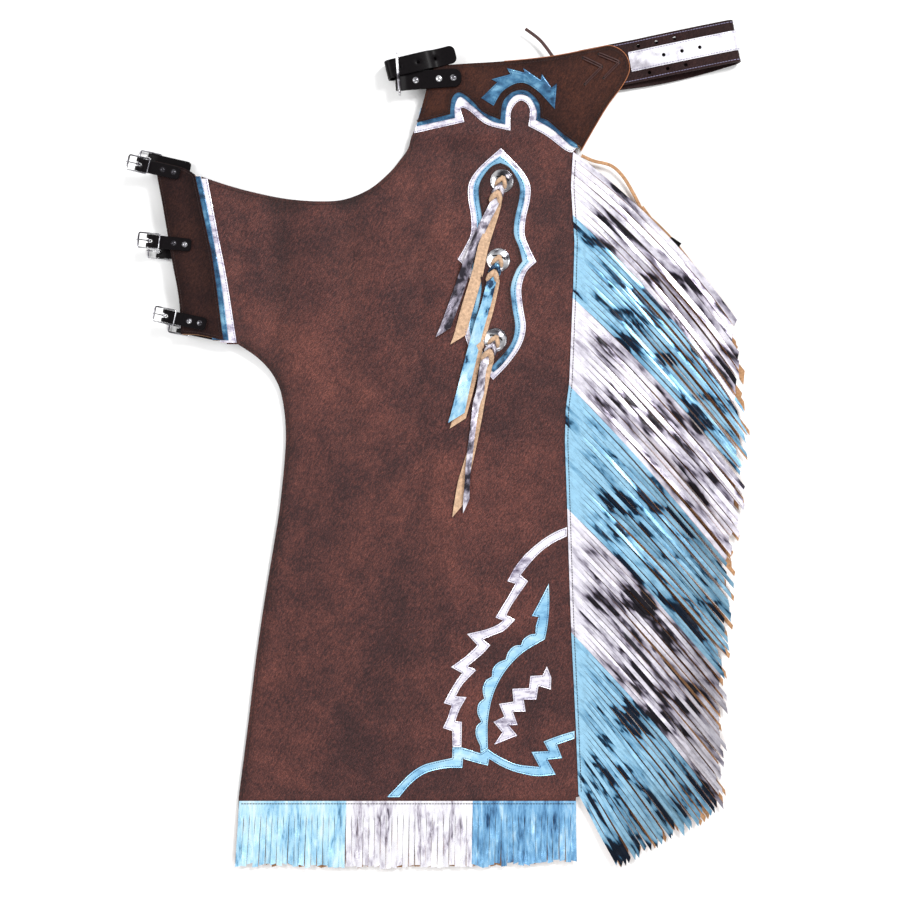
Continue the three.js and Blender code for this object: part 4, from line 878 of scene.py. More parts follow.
SEAM_ALLOWANCE = 15 * MM
HIDDEN_HEM = [(across, up - SEAM_ALLOWANCE / UP, *turn) for across, up, *turn in HEM]
HIDDEN_SEAM = [(across + SEAM_ALLOWANCE / ACROSS, up, *turn) for across, up, *turn in SIDE_SEAM]
HIDDEN_HEM[-1] = (100.0, HIDDEN_HEM[-1][1], S)
HIDDEN_HEM.append((100.2, 0.5, S))
HIDDEN_SEAM.insert(1, HIDDEN_SEAM[0])
HIDDEN_SEAM[-1] = (HIDDEN_SEAM[-1][0], HIDDEN_SEAM[-1][1] - 3, S)
PANEL = THIGH_EDGE + INNER_EDGE + HIDDEN_HEM + HIDDEN_SEAM[1:] + [(99.9, 86.5, S)] + PANEL_TOP_EDGE
YOKE = YOKE_TOP_EDGE + YOKE_LOW_EDGE
LEG_LAYERS = [
    ("yoke_silver_trim", TRIM_TOP_EDGE + YOKE_SILVER_EDGE, SILVER_LOW, SILVER_TOP, SILVER,
     "silver_foil"),
    ("yoke_blue_trim", TRIM_TOP_EDGE + YOKE_BLUE_EDGE, BLUE_LOW, BLUE_TOP, YOKE_BLUE, "blue_foil"),
    ("yoke", YOKE, OVERLAY_LOW, OVERLAY_TOP, OVERLAY, "overlay_leather"),
    ("tab_silver_trim", tab_trim(TAB_SILVER_EDGE), SILVER_LOW, SILVER_TOP, SILVER, "silver_foil"),
    ("tab_blue_trim", tab_trim(TAB_BLUE_EDGE), BLUE_LOW, BLUE_TOP, YOKE_BLUE, "blue_foil"),
    ("thigh_tab", TAB, OVERLAY_LOW, OVERLAY_TOP, TAB_LEATHER, "overlay_leather"),
]
near_panel = leather_piece("near_leg_panel", smooth(PANEL), PANEL_LOW, PANEL_TOP, BROWN,
                           "brown_leather", ["near_leg_panel"])
far_panel = leather_piece("far_leg_panel", smooth(PANEL, step=6 * MM), PANEL_LOW, PANEL_TOP, BROWN,
                          "brown_leather", ["far_leg_panel"], -1, 9 * MM, backing=FLESH)
for name, rows, low, high, material, kind in LEG_LAYERS:
    leather_piece("near_" + name, smooth(rows), low, high, material, kind, ["near_" + name],
                  cell=3 * MM, wall=EDGE if kind == "overlay_leather" else None)
    leather_piece("far_" + name, smooth(rows, step=5 * MM), low, high, material, kind,
                  ["far_" + name], -1, 8 * MM, backing=FLESH)


# The near yoke's cut edge, which is lighter than its face
yoke_edge = Shape()
yoke_edge.tube([on_leather(spot, OVERLAY_TOP - 0.4 * MM)
                for spot in smooth(YOKE_TOP_EDGE, False, 2 * MM) if spot.x > place(82, 0).x],
               0.6 * MM, sides=6)
yoke_edge.make("near_yoke_edge", [EDGE], "overlay_leather")


# The medallion, as three layers that step back
def medallion_rows(set_back):
    head, foot = place(*MEDALLION_HEAD), place(*MEDALLION_FOOT)
    axis = foot - head
    aside = Vector((-axis.y, axis.x)).normalized()
    tip = set_back * 1.4 / axis.length

    def row(along, out, *turn):
        return (*shares(head + axis * along + aside * out), *turn)

    def rim(side):
        return [row(along, side * (half * ACROSS - set_back * (1.3 if turn else 1)), *turn)
                for along, half, *turn in MEDALLION if abs(along - 0.5) < 0.48 - tip]

    return [row(tip, 0, S)] + rim(-1) + [row(1 - tip, 0, S)] + rim(1)[::-1]


for layer, (name, low, high, material, kind) in enumerate([
        ("medallion_silver", SILVER_LOW, SILVER_TOP, SILVER, "silver_foil"),
        ("medallion_blue", BLUE_LOW, BLUE_TOP, MEDALLION_BLUE, "blue_foil"),
        ("medallion_overlay", OVERLAY_LOW, OVERLAY_TOP, BROWN, "overlay_leather")]):
    leather_piece(name, smooth(medallion_rows(layer * MEDALLION_REVEAL)), low, high, material, kind,
                  [name], cell=3 * MM)

# The cut-out ornaments
ORNAMENTS = [
    ("yoke_crest", CREST, CREST_LOW, YOKE_BLUE, "blue_foil"),
    ("corner_silver_flame", CORNER_SILVER_FLAME, SILVER_LOW, SILVER, "silver_foil"),
    ("corner_arrow", CORNER_ARROW, SILVER_LOW, BLUE, "blue_foil"),
    ("corner_blue_flame", CORNER_BLUE_FLAME, SILVER_LOW, BLUE, "blue_foil"),
    ("corner_bolt", CORNER_BOLT, SILVER_LOW, SILVER, "silver_foil"),
]
for name, rows, low, material, kind in ORNAMENTS:
    leather_piece(name, smooth(rows), low, low + TRIM_LEATHER, material, kind, [name], cell=2.4 * MM)

# The stitching: along the edges of the trims, the yoke, the tab and the ornaments
seams = Shape()
GREY_THREAD, BLUE_THREAD, BROWN_THREAD = 0, 1, 2
for name, rows, low, material, kind in ORNAMENTS:
    line = inset_line(smooth(rows), 1.5 * MM)
    thread = BLUE_THREAD if kind == "blue_foil" else GREY_THREAD
    for a, b in zip(line, line[1:] + line[:1]):
        if (b - a).length < 12 * MM:
            stitch_line(seams, [a, b], low + TRIM_LEATHER, thread)


def beside(rows, away):
    """Returns the line of the rows moved to its left."""
    line = smooth(rows, False)
    return [spot + normal * away for spot, normal in zip(line, normals_of(line, False))]


for rows, height, away, thread in (
        (YOKE_LOW_EDGE, OVERLAY_TOP, -2, BROWN_THREAD), (YOKE_BLUE_EDGE, BLUE_TOP, 1.3, BLUE_THREAD),
        (YOKE_SILVER_EDGE, SILVER_TOP, 1.3, GREY_THREAD), (YOKE_TOP_EDGE, OVERLAY_TOP, -4, BROWN_THREAD),
        (TAB_SILVER_EDGE, SILVER_TOP, -1.5, GREY_THREAD), (TAB_BLUE_EDGE, BLUE_TOP, -1.5, BLUE_THREAD),
        (THIGH_EDGE[:-2], PANEL_TOP, 4, BROWN_THREAD), (INNER_EDGE, PANEL_TOP, 4, BROWN_THREAD)):
    stitch_line(seams, beside(rows, away * MM), height, thread)
for rows, height, away, thread in (
        (medallion_rows(0), SILVER_TOP, 1.5, GREY_THREAD),
        (medallion_rows(MEDALLION_REVEAL), BLUE_TOP, 1.5, BLUE_THREAD),
        (medallion_rows(2 * MEDALLION_REVEAL), OVERLAY_TOP, 2, BROWN_THREAD),
        (TAB, OVERLAY_TOP, 3, BROWN_THREAD)):
    line = inset_line(smooth(rows), away * MM)
    stitch_line(seams, line + line[:1], height, thread)
seams.make("edge_stitching", [THREAD_GREY, THREAD_BLUE, THREAD_DARK], "silver_foil", angle=70)

# The fringe, strip by strip; a strip has this many stations, and slits this wide beside it
STRIP_STATIONS = 26
SLIT = 0.6 * MM


def seam_at(up):
    row = next((i for i in range(1, len(SIDE_SEAM)) if up <= SIDE_SEAM[i][1]), 1)
    low, high = SIDE_SEAM[row - 1], SIDE_SEAM[row]
    return low[0] + (high[0] - low[0]) * (up - low[1]) / (high[1] - low[1])


def side_root(first, last, share):
    up = blend_of(first[0], last[0], share)
    return place(seam_at(up), up)


def hem_root(first, last, share):
    return place(blend_of(first[0], last[0], share), 0)


def tip_of(first, last, share):
    return place(blend_of(first[1], last[1], share), blend_of(first[2], last[2], share))


def strip(shape, roots, tips, bow, chance, side, wildness, tip_cut, wave):
    """Adds one strip between its two edges, from the header to its free end."""
    middle_root = (roots[0] + roots[1]) / 2
    along = (tips[0] + tips[1]) / 2 - middle_root
    length = along.length
    direction = along / length
    left = Vector((-direction.y, direction.x))
    half_root = abs((roots[1] - roots[0]).dot(left)) / 2
    half_tip = abs((tips[1] - tips[0]).dot(left)) / 2
    slant = (roots[1] - roots[0]).dot(direction) / 2
    if (roots[1] - roots[0]).dot(left) <= 0:
        slant = -slant
    shift = wave + chance.uniform(-1, 1) * wildness
    second = wave * 0.4 + chance.uniform(-1, 1) * wildness * 0.4
    twist = chance.gauss(0, 0.32) * min(1, wildness / (1.5 * MM))
    curl = chance.uniform(0.5, 1)
    lift = chance.uniform(0, 1.1 * MM)
    phase = chance.uniform(0, 6.28)
    longer = chance.uniform(-0.035, 0.03)
    spots = []
    for k in range(STRIP_STATIONS):
        share = k / (STRIP_STATIONS - 1)
        reach = length * share * (1 + longer)
        free = fade(reach, HEADER_WIDTH, HEADER_WIDTH + 0.5 * length)
        loose = fade(reach, HEADER_WIDTH * 0.9, HEADER_WIDTH + 0.1 * length)
        sway = shift * share + second * math.sin(phase + share * 5)
        away = 4 * share * (1 - share) * bow + free * sway
        centre = middle_root + direction * reach + left * away
        half = blend_of(half_root, half_tip, share) * (1 + 0.06 * free) - loose * SLIT / 2
        roll = loose * (0.16 * math.sin(phase + share * 7) + twist * free)
        flare = slant + free * tip_cut * (share > 0.999)
        level = level_at(centre.x, centre.y)
        base = SILVER_LOW + loose * (lift + 0.25 * MM * math.sin(phase * 2 + share * 11))
        for across, high, floor in ((-1, 1, 0.15), (-0.55, 1 + 0.1 * loose, 0.15),
                                    (0, 1 + 0.16 * curl * loose, 0.15), (0.55, 1 + 0.1 * loose, 0.15),
                                    (1, 1, 0.15), (1, 0, 0.3), (-1, 0, 0.3)):
            rise = abs(half * math.sin(roll)) + across * half * math.sin(roll)
            spot = centre + left * across * half * math.cos(roll) + direction * flare * across
            height = level + side * (base + high * FRINGE_LEATHER + rise)
            spots.append((spot.x, spot.y, max(height, floor * MM)))
    shape.ribbon(spots, side < 0)


def fringe_band(name, first, last, root, materials, kind, node, seed, side, wildness):
    """Makes a band of strips between two rows of its table."""
    shape = Shape()
    chance = random.Random(seed)
    count = first[3]
    for i in range(count):
        edges = (i / count, (i + 1) / count)
        bow = blend_of(first[4], last[4], sum(edges) / 2) * UP
        wave = 2.2 * wildness * noise.noise(Vector((i * 0.31, seed, 0.5)))
        strip(shape, [root(first, last, edge) for edge in edges],
              [tip_of(first, last, edge) for edge in edges], bow, chance, side, wildness,
              chance.uniform(-1.5, 1.5) * MM, wave)
    band = shape.make(name + "_strips", materials, kind, [node])
    marks = random.Random(seed + 500)
    values = {"strip": np.repeat([marks.random() for _ in range(count)], STRIP_STATIONS * 7),
              "share": np.tile(np.repeat(np.linspace(0, 1, STRIP_STATIONS), 7), count)}
    for mark, value in values.items():
        band.data.attributes.new(mark, "FLOAT", "POINT").data.foreach_set("value", value)


# Columns: name, table, roots, finishes of the near bands, finish of the far ones, and for near and
# far the first seed and how wildly the strips lie
for name, rows, root, finishes, far_finish, seeds, wildness in (
        ("side_fringe", SIDE_FRINGE, side_root,
         (SILVER_STRIPS, BLUE_STRIPS, SILVER_STRIPS, LOW_BLUE_STRIPS, LOW_SILVER_STRIPS, LOW_BLUE_STRIPS),
         BLUE_STRIPS, (20, 40), (1.9 * MM, 6 * MM)),
        ("hem_fringe", HEM_FRINGE, hem_root, (BLUE_HEM, SILVER_HEM, DEEP_HEM),
         BLUE_HEM, (60, 70), (0.5 * MM, 0.8 * MM))):
    for band, material in enumerate(finishes):
        first, last = rows[band:band + 2]
        kind = "silver_foil" if material.name.startswith("silver") else "blue_foil"
        fringe_band(f"near_{name}_{band + 1}", first, last, root, [material, EDGE], kind,
                    f"near_{name}_{band + 1}", seeds[0] + band, 1, wildness[0])
        fringe_band(f"far_{name}_{band + 1}", first, last, root, [far_finish, FLESH], "blue_foil",
                    f"far_{name}", seeds[1] + band, -1, wildness[1])

# The stitches along the fringe's headers
HEADER_INSET = 3.5 * MM
HEADER_STITCH_LEVEL = SILVER_LOW + FRINGE_LEATHER + 0.15 * MM
header_stitches = Shape()
for line in ([place(seam_at(up), up) + Vector((HEADER_INSET, 0)) for up in np.linspace(85.2, 1.2, 80)],
             [place(across, 0) - Vector((0, HEADER_INSET)) for across in np.linspace(16.6, 99.8, 60)]):
    stitch_line(header_stitches, line, HEADER_STITCH_LEVEL)
header_stitches.make("header_stitching", [THREAD_DARK], "blue_foil", angle=70)


# Straps, bent along a fold line whose rows hold along and height
def rounded(rows, step=0.8 * MM):
    """Returns the points of a round line through the rows."""
    points = [Vector(row) for row in rows]
    last = len(points) - 1
    line = []
    for i in range(last):
        here, there = points[i], points[i + 1]
        reach = (there - here).length
        before, after = points[max(i - 1, 0)], points[min(i + 2, last)]
        leave = (there - before).normalized() * reach
        arrive = (after - here).normalized() * reach
        pieces = max(1, round(reach / step))
        line += [curve(here, there, leave, arrive, k / pieces) for k in range(pieces)]
    return line + [points[-1]]


def fold(height, radius, start, end, steps, along=0):
    """Returns the rows of a round fold between two angles in degrees."""
    turns = [math.radians(blend_of(start, end, i / steps)) for i in range(steps + 1)]
    return [(along + radius * math.cos(turn), height + radius * math.sin(turn)) for turn in turns]


class Run:
    """A fold line that a flat cut is bent along, with the leather on its outer side."""

    def __init__(self, rows, shift=0):
        self.line = rounded(rows)
        if shift:
            self.line = [spot + self.outward(i) * shift for i, spot in enumerate(self.line)]
        self.lengths = [0]
        for a, b in zip(self.line, self.line[1:]):
            self.lengths.append(self.lengths[-1] + (b - a).length)
        self.length = self.lengths[-1]

    def outward(self, i):
        along = self.line[min(i + 1, len(self.line) - 1)] - self.line[max(i - 1, 0)]
        return Vector((along.y, -along.x)).normalized()

    def at(self, reach, aside, out):
        k = int(np.searchsorted(self.lengths, min(max(reach, 0), self.length))) - 1
        k = min(max(k, 0), len(self.line) - 2)
        share = (reach - self.lengths[k]) / max(self.lengths[k + 1] - self.lengths[k], 1e-9)
        outward = self.outward(k).lerp(self.outward(k + 1), share).normalized()
        spot = self.line[k].lerp(self.line[k + 1], share) + outward * out
        return Vector((spot.x, aside, spot.y))

    def reach_of(self, along):
        """Returns the reach at which the upper half passes a place along the strap."""
        return next(self.lengths[k] for k in range(len(self.line) - 2, -1, -1)
                    if (self.line[k].x - along) * (self.line[k + 1].x - along) <= 0)


def seated(spot, turn, side=1):
    """Returns the move from a strap's own place onto the surface between the legs."""
    level = level_at(spot.x, spot.y)
    rotation = Matrix.Rotation(math.radians(turn), 3, "Z")

    def move(point):
        turned = rotation @ Vector((point[0], point[1], side * point[2]))
        return turned + Vector((spot.x, spot.y, level))
    return move


def corner(x, y, radius, start):
    """Returns a quarter of a circle round a place, from an angle in degrees."""
    turns = [math.radians(start + 15 * k) for k in range(7)]
    return [Vector((x + radius * math.cos(turn), y + radius * math.sin(turn))) for turn in turns]


def slat(length, width, round_start, round_end):
    """Returns the outline of a strap laid flat, with round corners at both ends."""
    half = width / 2
    corners = (corner(length - round_end, half - round_end, round_end, 0)
               + corner(round_start, half - round_start, round_start, 90)
               + corner(round_start, round_start - half, round_start, 180)
               + corner(length - round_end, round_end - half, round_end, 270))
    ring = []
    for a, b in zip(corners, corners[1:] + corners[:1]):
        pieces = max(1, round((b - a).length / (1.6 * MM)))
        ring += [a.lerp(b, k / pieces) for k in range(pieces)]
    return ring


def round_hole(x, y, radius):
    return [Vector((x + across, y + up)) for across, up in circle(radius, 14)]


def bent(shape, outline, run, thickness, move, holes=(), side=1, finish=0, cell=2.2 * MM, sway=None):
    """Adds a flat cut bent along a run; sway says how far it drifts aside at each reach."""
    drift = sway or (lambda reach: 0)
    thicken(shape, cut(outline, holes, cell, 0.4 * MM),
            lambda u, v: move(run.at(u, v + drift(u), thickness)),
            lambda u, v: move(run.at(u, v + drift(u), 0)), side > 0, finish)


def ring_path(length, width, radius):
    """Returns the middle line of a frame with round corners."""
    return [spot for x, y, start in ((1, 1, 0), (-1, 1, 90), (-1, -1, 180), (1, -1, 270))
            for spot in corner(x * (length / 2 - radius), y * (width / 2 - radius), radius, start)]


DOME = [(1, 0), (0.98, 0.3), (0.86, 0.62), (0.6, 0.88), (0.3, 0.98), (0.02, 1)]


def dome(shape, spot, radius, height, finish=0, sides=20, side=1):
    shape.lathe([(out * radius, high * height) for out, high in DOME], spot, sides, finish, side)


def rivet(shape, move, along, level, ring, cap, side=1):
    """Adds a rivet's ring and cap; ring holds rows of radius and height, cap its own, in mm."""
    shape.lathe([(out * MM, high * MM) for out, high in ring], move((along, 0, level)), 20, 1, side)
    dome(shape, move((along, 0, level + ring[1][1] * MM)), cap[0] * MM, cap[1] * MM, 1, side=side)


STRAP_TOP = OVERLAY_TOP + 2 * (GAP + STRAP_LEATHER)
BUCKLE_LEVEL = STRAP_TOP + GAP + WIRE / 2
FOLD_RADIUS = WIRE * math.sqrt(0.5) + GAP
STRAP_LOW = OVERLAY_TOP + GAP + STRAP_LEATHER
STRAP_HIGH = STRAP_LOW + GAP
STRAP_RUN = Run(
    [(STRAP_REACH, STRAP_HIGH), (BUCKLE_LENGTH * 0.42, STRAP_HIGH),
     (BUCKLE_LENGTH * 0.27, blend_of(STRAP_HIGH, BUCKLE_LEVEL, 0.4)),
     (BUCKLE_LENGTH * 0.13, BUCKLE_LEVEL + FOLD_RADIUS * 0.6)]
    + fold(BUCKLE_LEVEL, FOLD_RADIUS, 70, 290, 7)
    + [(BUCKLE_LENGTH * 0.2, blend_of(STRAP_LOW, BUCKLE_LEVEL, 0.2)), (BUCKLE_LENGTH * 0.4, STRAP_LOW),
       (STRAP_REACH, STRAP_LOW)])


SLOT_CORNERS = [(-6, -1.8), (6, -1.8), (7.5, 0), (6, 1.8), (-6, 1.8), (-7.5, 0)]


def thigh_strap(shape, move, side=1):
    middle = STRAP_RUN.length / 2
    slot = [Vector((middle + x * MM, y * MM)) for x, y in SLOT_CORNERS]
    bent(shape, slat(STRAP_RUN.length, STRAP_WIDTH, 4 * MM, 4 * MM), STRAP_RUN, STRAP_LEATHER, move,
         [slot], side, cell=1.8 * MM)
    for along in (FIRST_RIVET, SECOND_RIVET):
        rivet(shape, move, along, STRAP_TOP, ((3.4, -0.1), (3.3, 0.2), (2.7, 0.25)), (2.5, 0.9), side)


def thigh_frame(shape, move, finish=0):
    radius = WIRE / 2
    outer = ring_path(BUCKLE_LENGTH - WIRE, BUCKLE_WIDTH - WIRE, 2.2 * MM)
    shape.tube([move((x, y, BUCKLE_LEVEL)) for x, y in outer], radius, True, finish=finish)
    for x, thick, reach in ((0, radius * 0.9, BUCKLE_WIDTH / 2 - radius),
                            (radius - BUCKLE_LENGTH / 2, radius * 1.2, BUCKLE_WIDTH / 2 - 3 * MM)):
        bar = [move((x, y, BUCKLE_LEVEL)) for y in (-reach, reach)]
        shape.tube(bar, thick, finish=finish)


def thigh_prong(shape, move, finish=0):
    half = PRONG_THICKNESS / 2
    eye = FOLD_RADIUS + half
    rest = WIRE / 2 + GAP + half
    spine = rounded([(-BUCKLE_LENGTH / 2 - PRONG_OVERHANG, rest - 0.1 * MM),
                     (-BUCKLE_LENGTH / 2, rest + 0.15 * MM), (-BUCKLE_LENGTH * 0.3, rest + 0.5 * MM),
                     (-eye, FOLD_RADIUS)], 1 * MM)
    radii = [half * min(1, 0.72 + 0.5 * k / len(spine)) for k in range(len(spine))]
    shape.tube([move((x, 0, BUCKLE_LEVEL + z)) for x, z in spine], radii, finish=finish)
    for y in (-0.5 * MM, 0.5 * MM):
        shape.tube([move((x, y, BUCKLE_LEVEL + z)) for x, z in circle(eye, 18)], half * 0.92, True,
                   10, finish)


for i, (across, up, turn) in enumerate(THIGH_BUCKLES):
    move = seated(place(across, up), turn)
    number = i + 1
    shape = Shape()
    thigh_strap(shape, move)
    shape.make(f"tab_strap_{number}_leather", [STRAP, NICKEL], "strap_leather", [f"tab_strap_{number}"])
    shape = Shape()
    thigh_frame(shape, move)
    shape.make(f"tab_buckle_{number}_frame", [NICKEL], "steel", [f"tab_buckle_{number}"], angle=60)
    shape = Shape()
    thigh_prong(shape, move)
    shape.make(f"tab_prong_{number}_wire", [NICKEL], "steel", [f"tab_prong_{number}"],
               f"prong_{number}", 60)
    far = seated(place(across + FAR_SLIP[i][0], up + FAR_SLIP[i][1]), turn, -1)
    shape = Shape()
    thigh_strap(shape, far, -1)
    thigh_frame(shape, far, 1)
    thigh_prong(shape, far, 1)
    shape.make(f"far_tab_buckle_{number}_set", [STRAP, NICKEL], "strap_leather",
               [f"far_tab_buckle_{number}"], angle=50)


# Laces and the leg billet, flat on the leather
def band_outline(rows, width):
    """Returns the outline of a band along rows of across and up."""
    line = smooth(rows, False)
    normals = normals_of(line, False)
    sides = [[spot + sign * normal * width / 2 for spot, normal in zip(line, normals)]
             for sign in (-1, 1)]
    return sides[0] + sides[1][::-1]


UNDER_YOKE = OVERLAY_LOW - GAP
# The billet has a narrow start, from the yoke's corner to where it widens, and a dark end
BILLET_LEAD = [(101.5, 85.8), (104.5, 85.1), (108.8, 84.5), (111.8, 83.1), (114.4, 80.9), (116.6, 78.6)]
BILLET_LEAD_WIDTH = 4 * MM
BILLET_END = place(*LEG_BILLET[-1])
BILLET_DARK = 17 * MM
billet_piece = [
    leather_piece(name, band_outline(rows, width), PANEL_LOW, PANEL_TOP, FLESH, "strap_leather",
                  ["leg_billet"], cell=2 * MM)
    for name, rows, width in (("leg_billet", LEG_BILLET[2:], LEG_BILLET_WIDTH),
                              ("leg_billet_lead", BILLET_LEAD, BILLET_LEAD_WIDTH))][0]
billet_piece.data.materials.append(STRAP)
for face in billet_piece.data.polygons:
    if (face.center.xy - BILLET_END).length < BILLET_DARK:
        face.material_index = 1
leather_piece("lace_tail", band_outline(LACE_TAIL, LACE_WIDTH), UNDER_YOKE - LACE_LEATHER, UNDER_YOKE,
              LACE, "lace_leather", ["lace_tail"], cell=1.5 * MM)


def lace(shape, rows, height):
    """Adds a flat lace along rows of across and up, with its ends turned down into the leather."""
    line = smooth(rows, False, 1.5 * MM)
    count = len(line) - 1
    spots = []
    for i, spot in enumerate(line):
        arch = min(1, 5 * min(i, count - i) / count)
        spots.append(on_leather(spot, height + 0.9 * MM * (arch - 0.5)))
    shape.tube(spots, 0.85 * MM, sides=8)


for i, rows in enumerate(YOKE_LACES):
    shape = Shape()
    for a, b in zip(rows, rows[1:]):
        for shift in (-0.16, 0.16):
            lace(shape, [(a[0], a[1] + shift), (b[0], b[1] + shift)], CREST_LOW + 0.5 * MM)
    # A dark disc at each lace hole is painted shade inside the hole.
    for across, up in rows:
        shape.lathe([(1.9 * MM, -0.2 * MM), (1.7 * MM, 0.12 * MM), (0.02 * MM, 0.12 * MM)],
                    on_leather(place(across, up), OVERLAY_TOP), 14, 1)
    shape.make(f"yoke_lace_{i + 1}_cord", [LACE, HOLE_SHADE], "lace_leather", [f"yoke_lace_{i + 1}"])

# The belt: both halves run under the yokes' round ends and meet in one fold
belt_start = place(*BELT_START)
belt_run = place(*BELT_END) - belt_start
belt_turn = math.degrees(math.atan2(belt_run.y, belt_run.x))
belt_fold = belt_run.length - BELT_LOOP / 2 - BELT_LEATHER
belt_floor = GAP + BELT_LEATHER - level_at(belt_start.x, belt_start.y)
belt_inside = UNDER_YOKE - BELT_LEATHER
BELT_LAG = 6.5 * MM
belt_rows = (
    [(0, -belt_inside), (belt_fold * 0.33, -belt_inside),
     (belt_fold * 0.66, blend_of(-belt_inside, belt_floor, 0.7))]
    + fold(belt_floor + BELT_LOOP / 2, BELT_LOOP / 2, -90, 90, 6, belt_fold)
    + [(along * belt_fold, blend_of(belt_inside, belt_floor + BELT_LOOP, rise))
       for along, rise in BELT_RISE])
belt_move = seated(belt_start, belt_turn)
belt_run_line = Run(belt_rows)
strip_rows = belt_rows[6:-1] + [(0.325 * belt_fold, belt_inside)]
strip_run = Run(strip_rows, BELT_LEATHER + GAP)


def belt_holes(run, rows):
    return [round_hole(run.reach_of(along * belt_fold), aside * BELT_WIDTH, BELT_HOLE_RADIUS)
            for along, aside in rows]


def belt_sway(reach):
    """Returns how far aside the rear half lies: it hangs a little lower than the near one."""
    share = reach / (belt_run_line.length / 2)
    return -BELT_LAG * math.sin(math.pi * share) if share < 1 else 0


shape = Shape()
bent(shape, slat(belt_run_line.length, BELT_WIDTH, 2 * MM, 2 * MM), belt_run_line, BELT_LEATHER,
     belt_move, belt_holes(belt_run_line, BELT_HOLES), cell=4 * MM, sway=belt_sway)
shape.make("belt_leather", [BELT], "brown_leather", ["belt"])
shape = Shape()
# The silver strip has the holes of the middle row that it reaches
strip_holes = [row for row in BELT_HOLES if row[1] == 0 and row[0] >= 0.55]
bent(shape, slat(strip_run.length, BELT_STRIP_WIDTH, 1 * MM, 1 * MM), strip_run, BELT_STRIP_LEATHER,
     belt_move, belt_holes(strip_run, strip_holes), cell=3 * MM)
shape.make("belt_silver_strip_leather", [BELT_SILVER], "silver_foil", ["belt_silver_strip"])
shape = Shape()
for run, aside, out, start in (
        (belt_run_line, BELT_WIDTH / 2 - 3 * MM, BELT_LEATHER, belt_run_line.length / 2),
        (strip_run, BELT_STRIP_WIDTH / 2 - 1.6 * MM, BELT_STRIP_LEATHER, 0)):
    for sign in (-1, 1):
        for k in range(int((run.length - start) / (STITCH + STITCH_GAP))):
            path = [belt_move(run.at(start + (k + share) * (STITCH + STITCH_GAP), sign * aside,
                                     out + rise * MM)) for share, rise in
                    ((0.16, -0.2), (0.26, 0.16), (0.5, 0.28), (0.74, 0.16), (0.84, -0.2))]
            shape.tube(path, STITCH_RADIUS, sides=6)
shape.make("belt_stitching", [THREAD_GREY], "silver_foil")

# The waist: a strap on the near yoke holds the buckle, and the far leg's billet runs through it
waist_low = OVERLAY_TOP + GAP + WAIST_LEATHER
waist_high = waist_low + GAP
waist_fold = WAIST_WIRE * math.sqrt(0.5) + GAP
waist_bar = (waist_low + waist_high) / 2
waist_top = waist_high + WAIST_LEATHER
along_waist = Vector((math.cos(WAIST_TURN), math.sin(WAIST_TURN)))
bar_spot = place(*WAIST_STRAP_END) - along_waist * WAIST_STRAP_LENGTH
waist_move = seated(bar_spot, math.degrees(WAIST_TURN))
waist_run = Run([(WAIST_STRAP_LENGTH, waist_high), (waist_fold * 4, waist_high)]
                + fold(waist_bar, waist_fold, 60, 300, 7)
                + [(waist_fold * 4, waist_low), (WAIST_STRAP_LENGTH, waist_low)])
shape = Shape()
bent(shape, slat(waist_run.length, WAIST_WIDTH, 9 * MM, 9 * MM), waist_run, WAIST_LEATHER, waist_move)
for along in WAIST_RIVETS:
    rivet(shape, waist_move, along * WAIST_STRAP_LENGTH, waist_top,
          ((3.9, -0.1), (3.8, 0.25), (3, 0.3)), (2.9, 0.8))
shape.make("waist_strap_leather", [STRAP, NICKEL], "strap_leather", ["waist_strap"])

shape = Shape()
frame_middle = waist_bar + (WAIST_FRAME[0] - WAIST_WIRE) / 2
shape.tube([waist_move((0, y + WAIST_FRAME_SHIFT, z + frame_middle)) for z, y in ring_path(
    WAIST_FRAME[0] - WAIST_WIRE, WAIST_FRAME[1] - WAIST_WIRE, 4 * MM)], WAIST_WIRE / 2, True, 16)
shape.tube([waist_move((0, WAIST_BILLET_ASIDE, waist_bar)),
            waist_move((0, WAIST_BILLET_ASIDE, waist_bar + WAIST_FRAME[0] - WAIST_WIRE * 0.6))],
           WAIST_WIRE * 0.42)
shape.make("waist_buckle_frame", [NICKEL], "steel", ["waist_buckle"], angle=60)

over_overlay = OVERLAY_TOP + GAP
billet_over = waist_bar + waist_fold + WAIST_LEATHER + GAP * 2
billet_spot = bar_spot + Vector((-along_waist.y, along_waist.x)) * WAIST_BILLET_ASIDE
billet_move = seated(billet_spot, math.degrees(WAIST_BILLET_TURN))
billet_run = Run([(WAIST_BILLET_LENGTH, over_overlay), (WAIST_BILLET_LENGTH * 0.66, over_overlay),
                  (WAIST_BILLET_LENGTH * 0.5, blend_of(over_overlay, billet_over, 0.7)),
                  (waist_fold * 2.4, billet_over)]
                 + fold(billet_over - BILLET_BEND, BILLET_BEND, 90, 180, 4, -waist_fold * 3)
                 + fold(BILLET_BEND - over_overlay, BILLET_BEND, 180, 270, 4, -waist_fold * 3)
                 + [(WAIST_BILLET_LENGTH * 0.7, -over_overlay)])
# Columns: back from the billet's length, and radius, in mm
billet_holes = [round_hole(WAIST_BILLET_LENGTH - back * MM, 0, radius * MM)
                for back, radius in ((24, 2.2), (46, 2.2), (0, 3))]
shape = Shape()
bent(shape, slat(billet_run.length, WAIST_WIDTH, 7 * MM, 3 * MM), billet_run, WAIST_LEATHER, billet_move,
     billet_holes)
shape.make("waist_billet_leather", [STRAP], "strap_leather", ["waist_billet"])


# Conchos and their strings
def pixel_place(x, y):
    """Returns the place of a pixel of the photograph of 900 by 900."""
    return place((x - 175) / 4, (800 - y) / 7.5)


PIXEL = ACROSS / 4
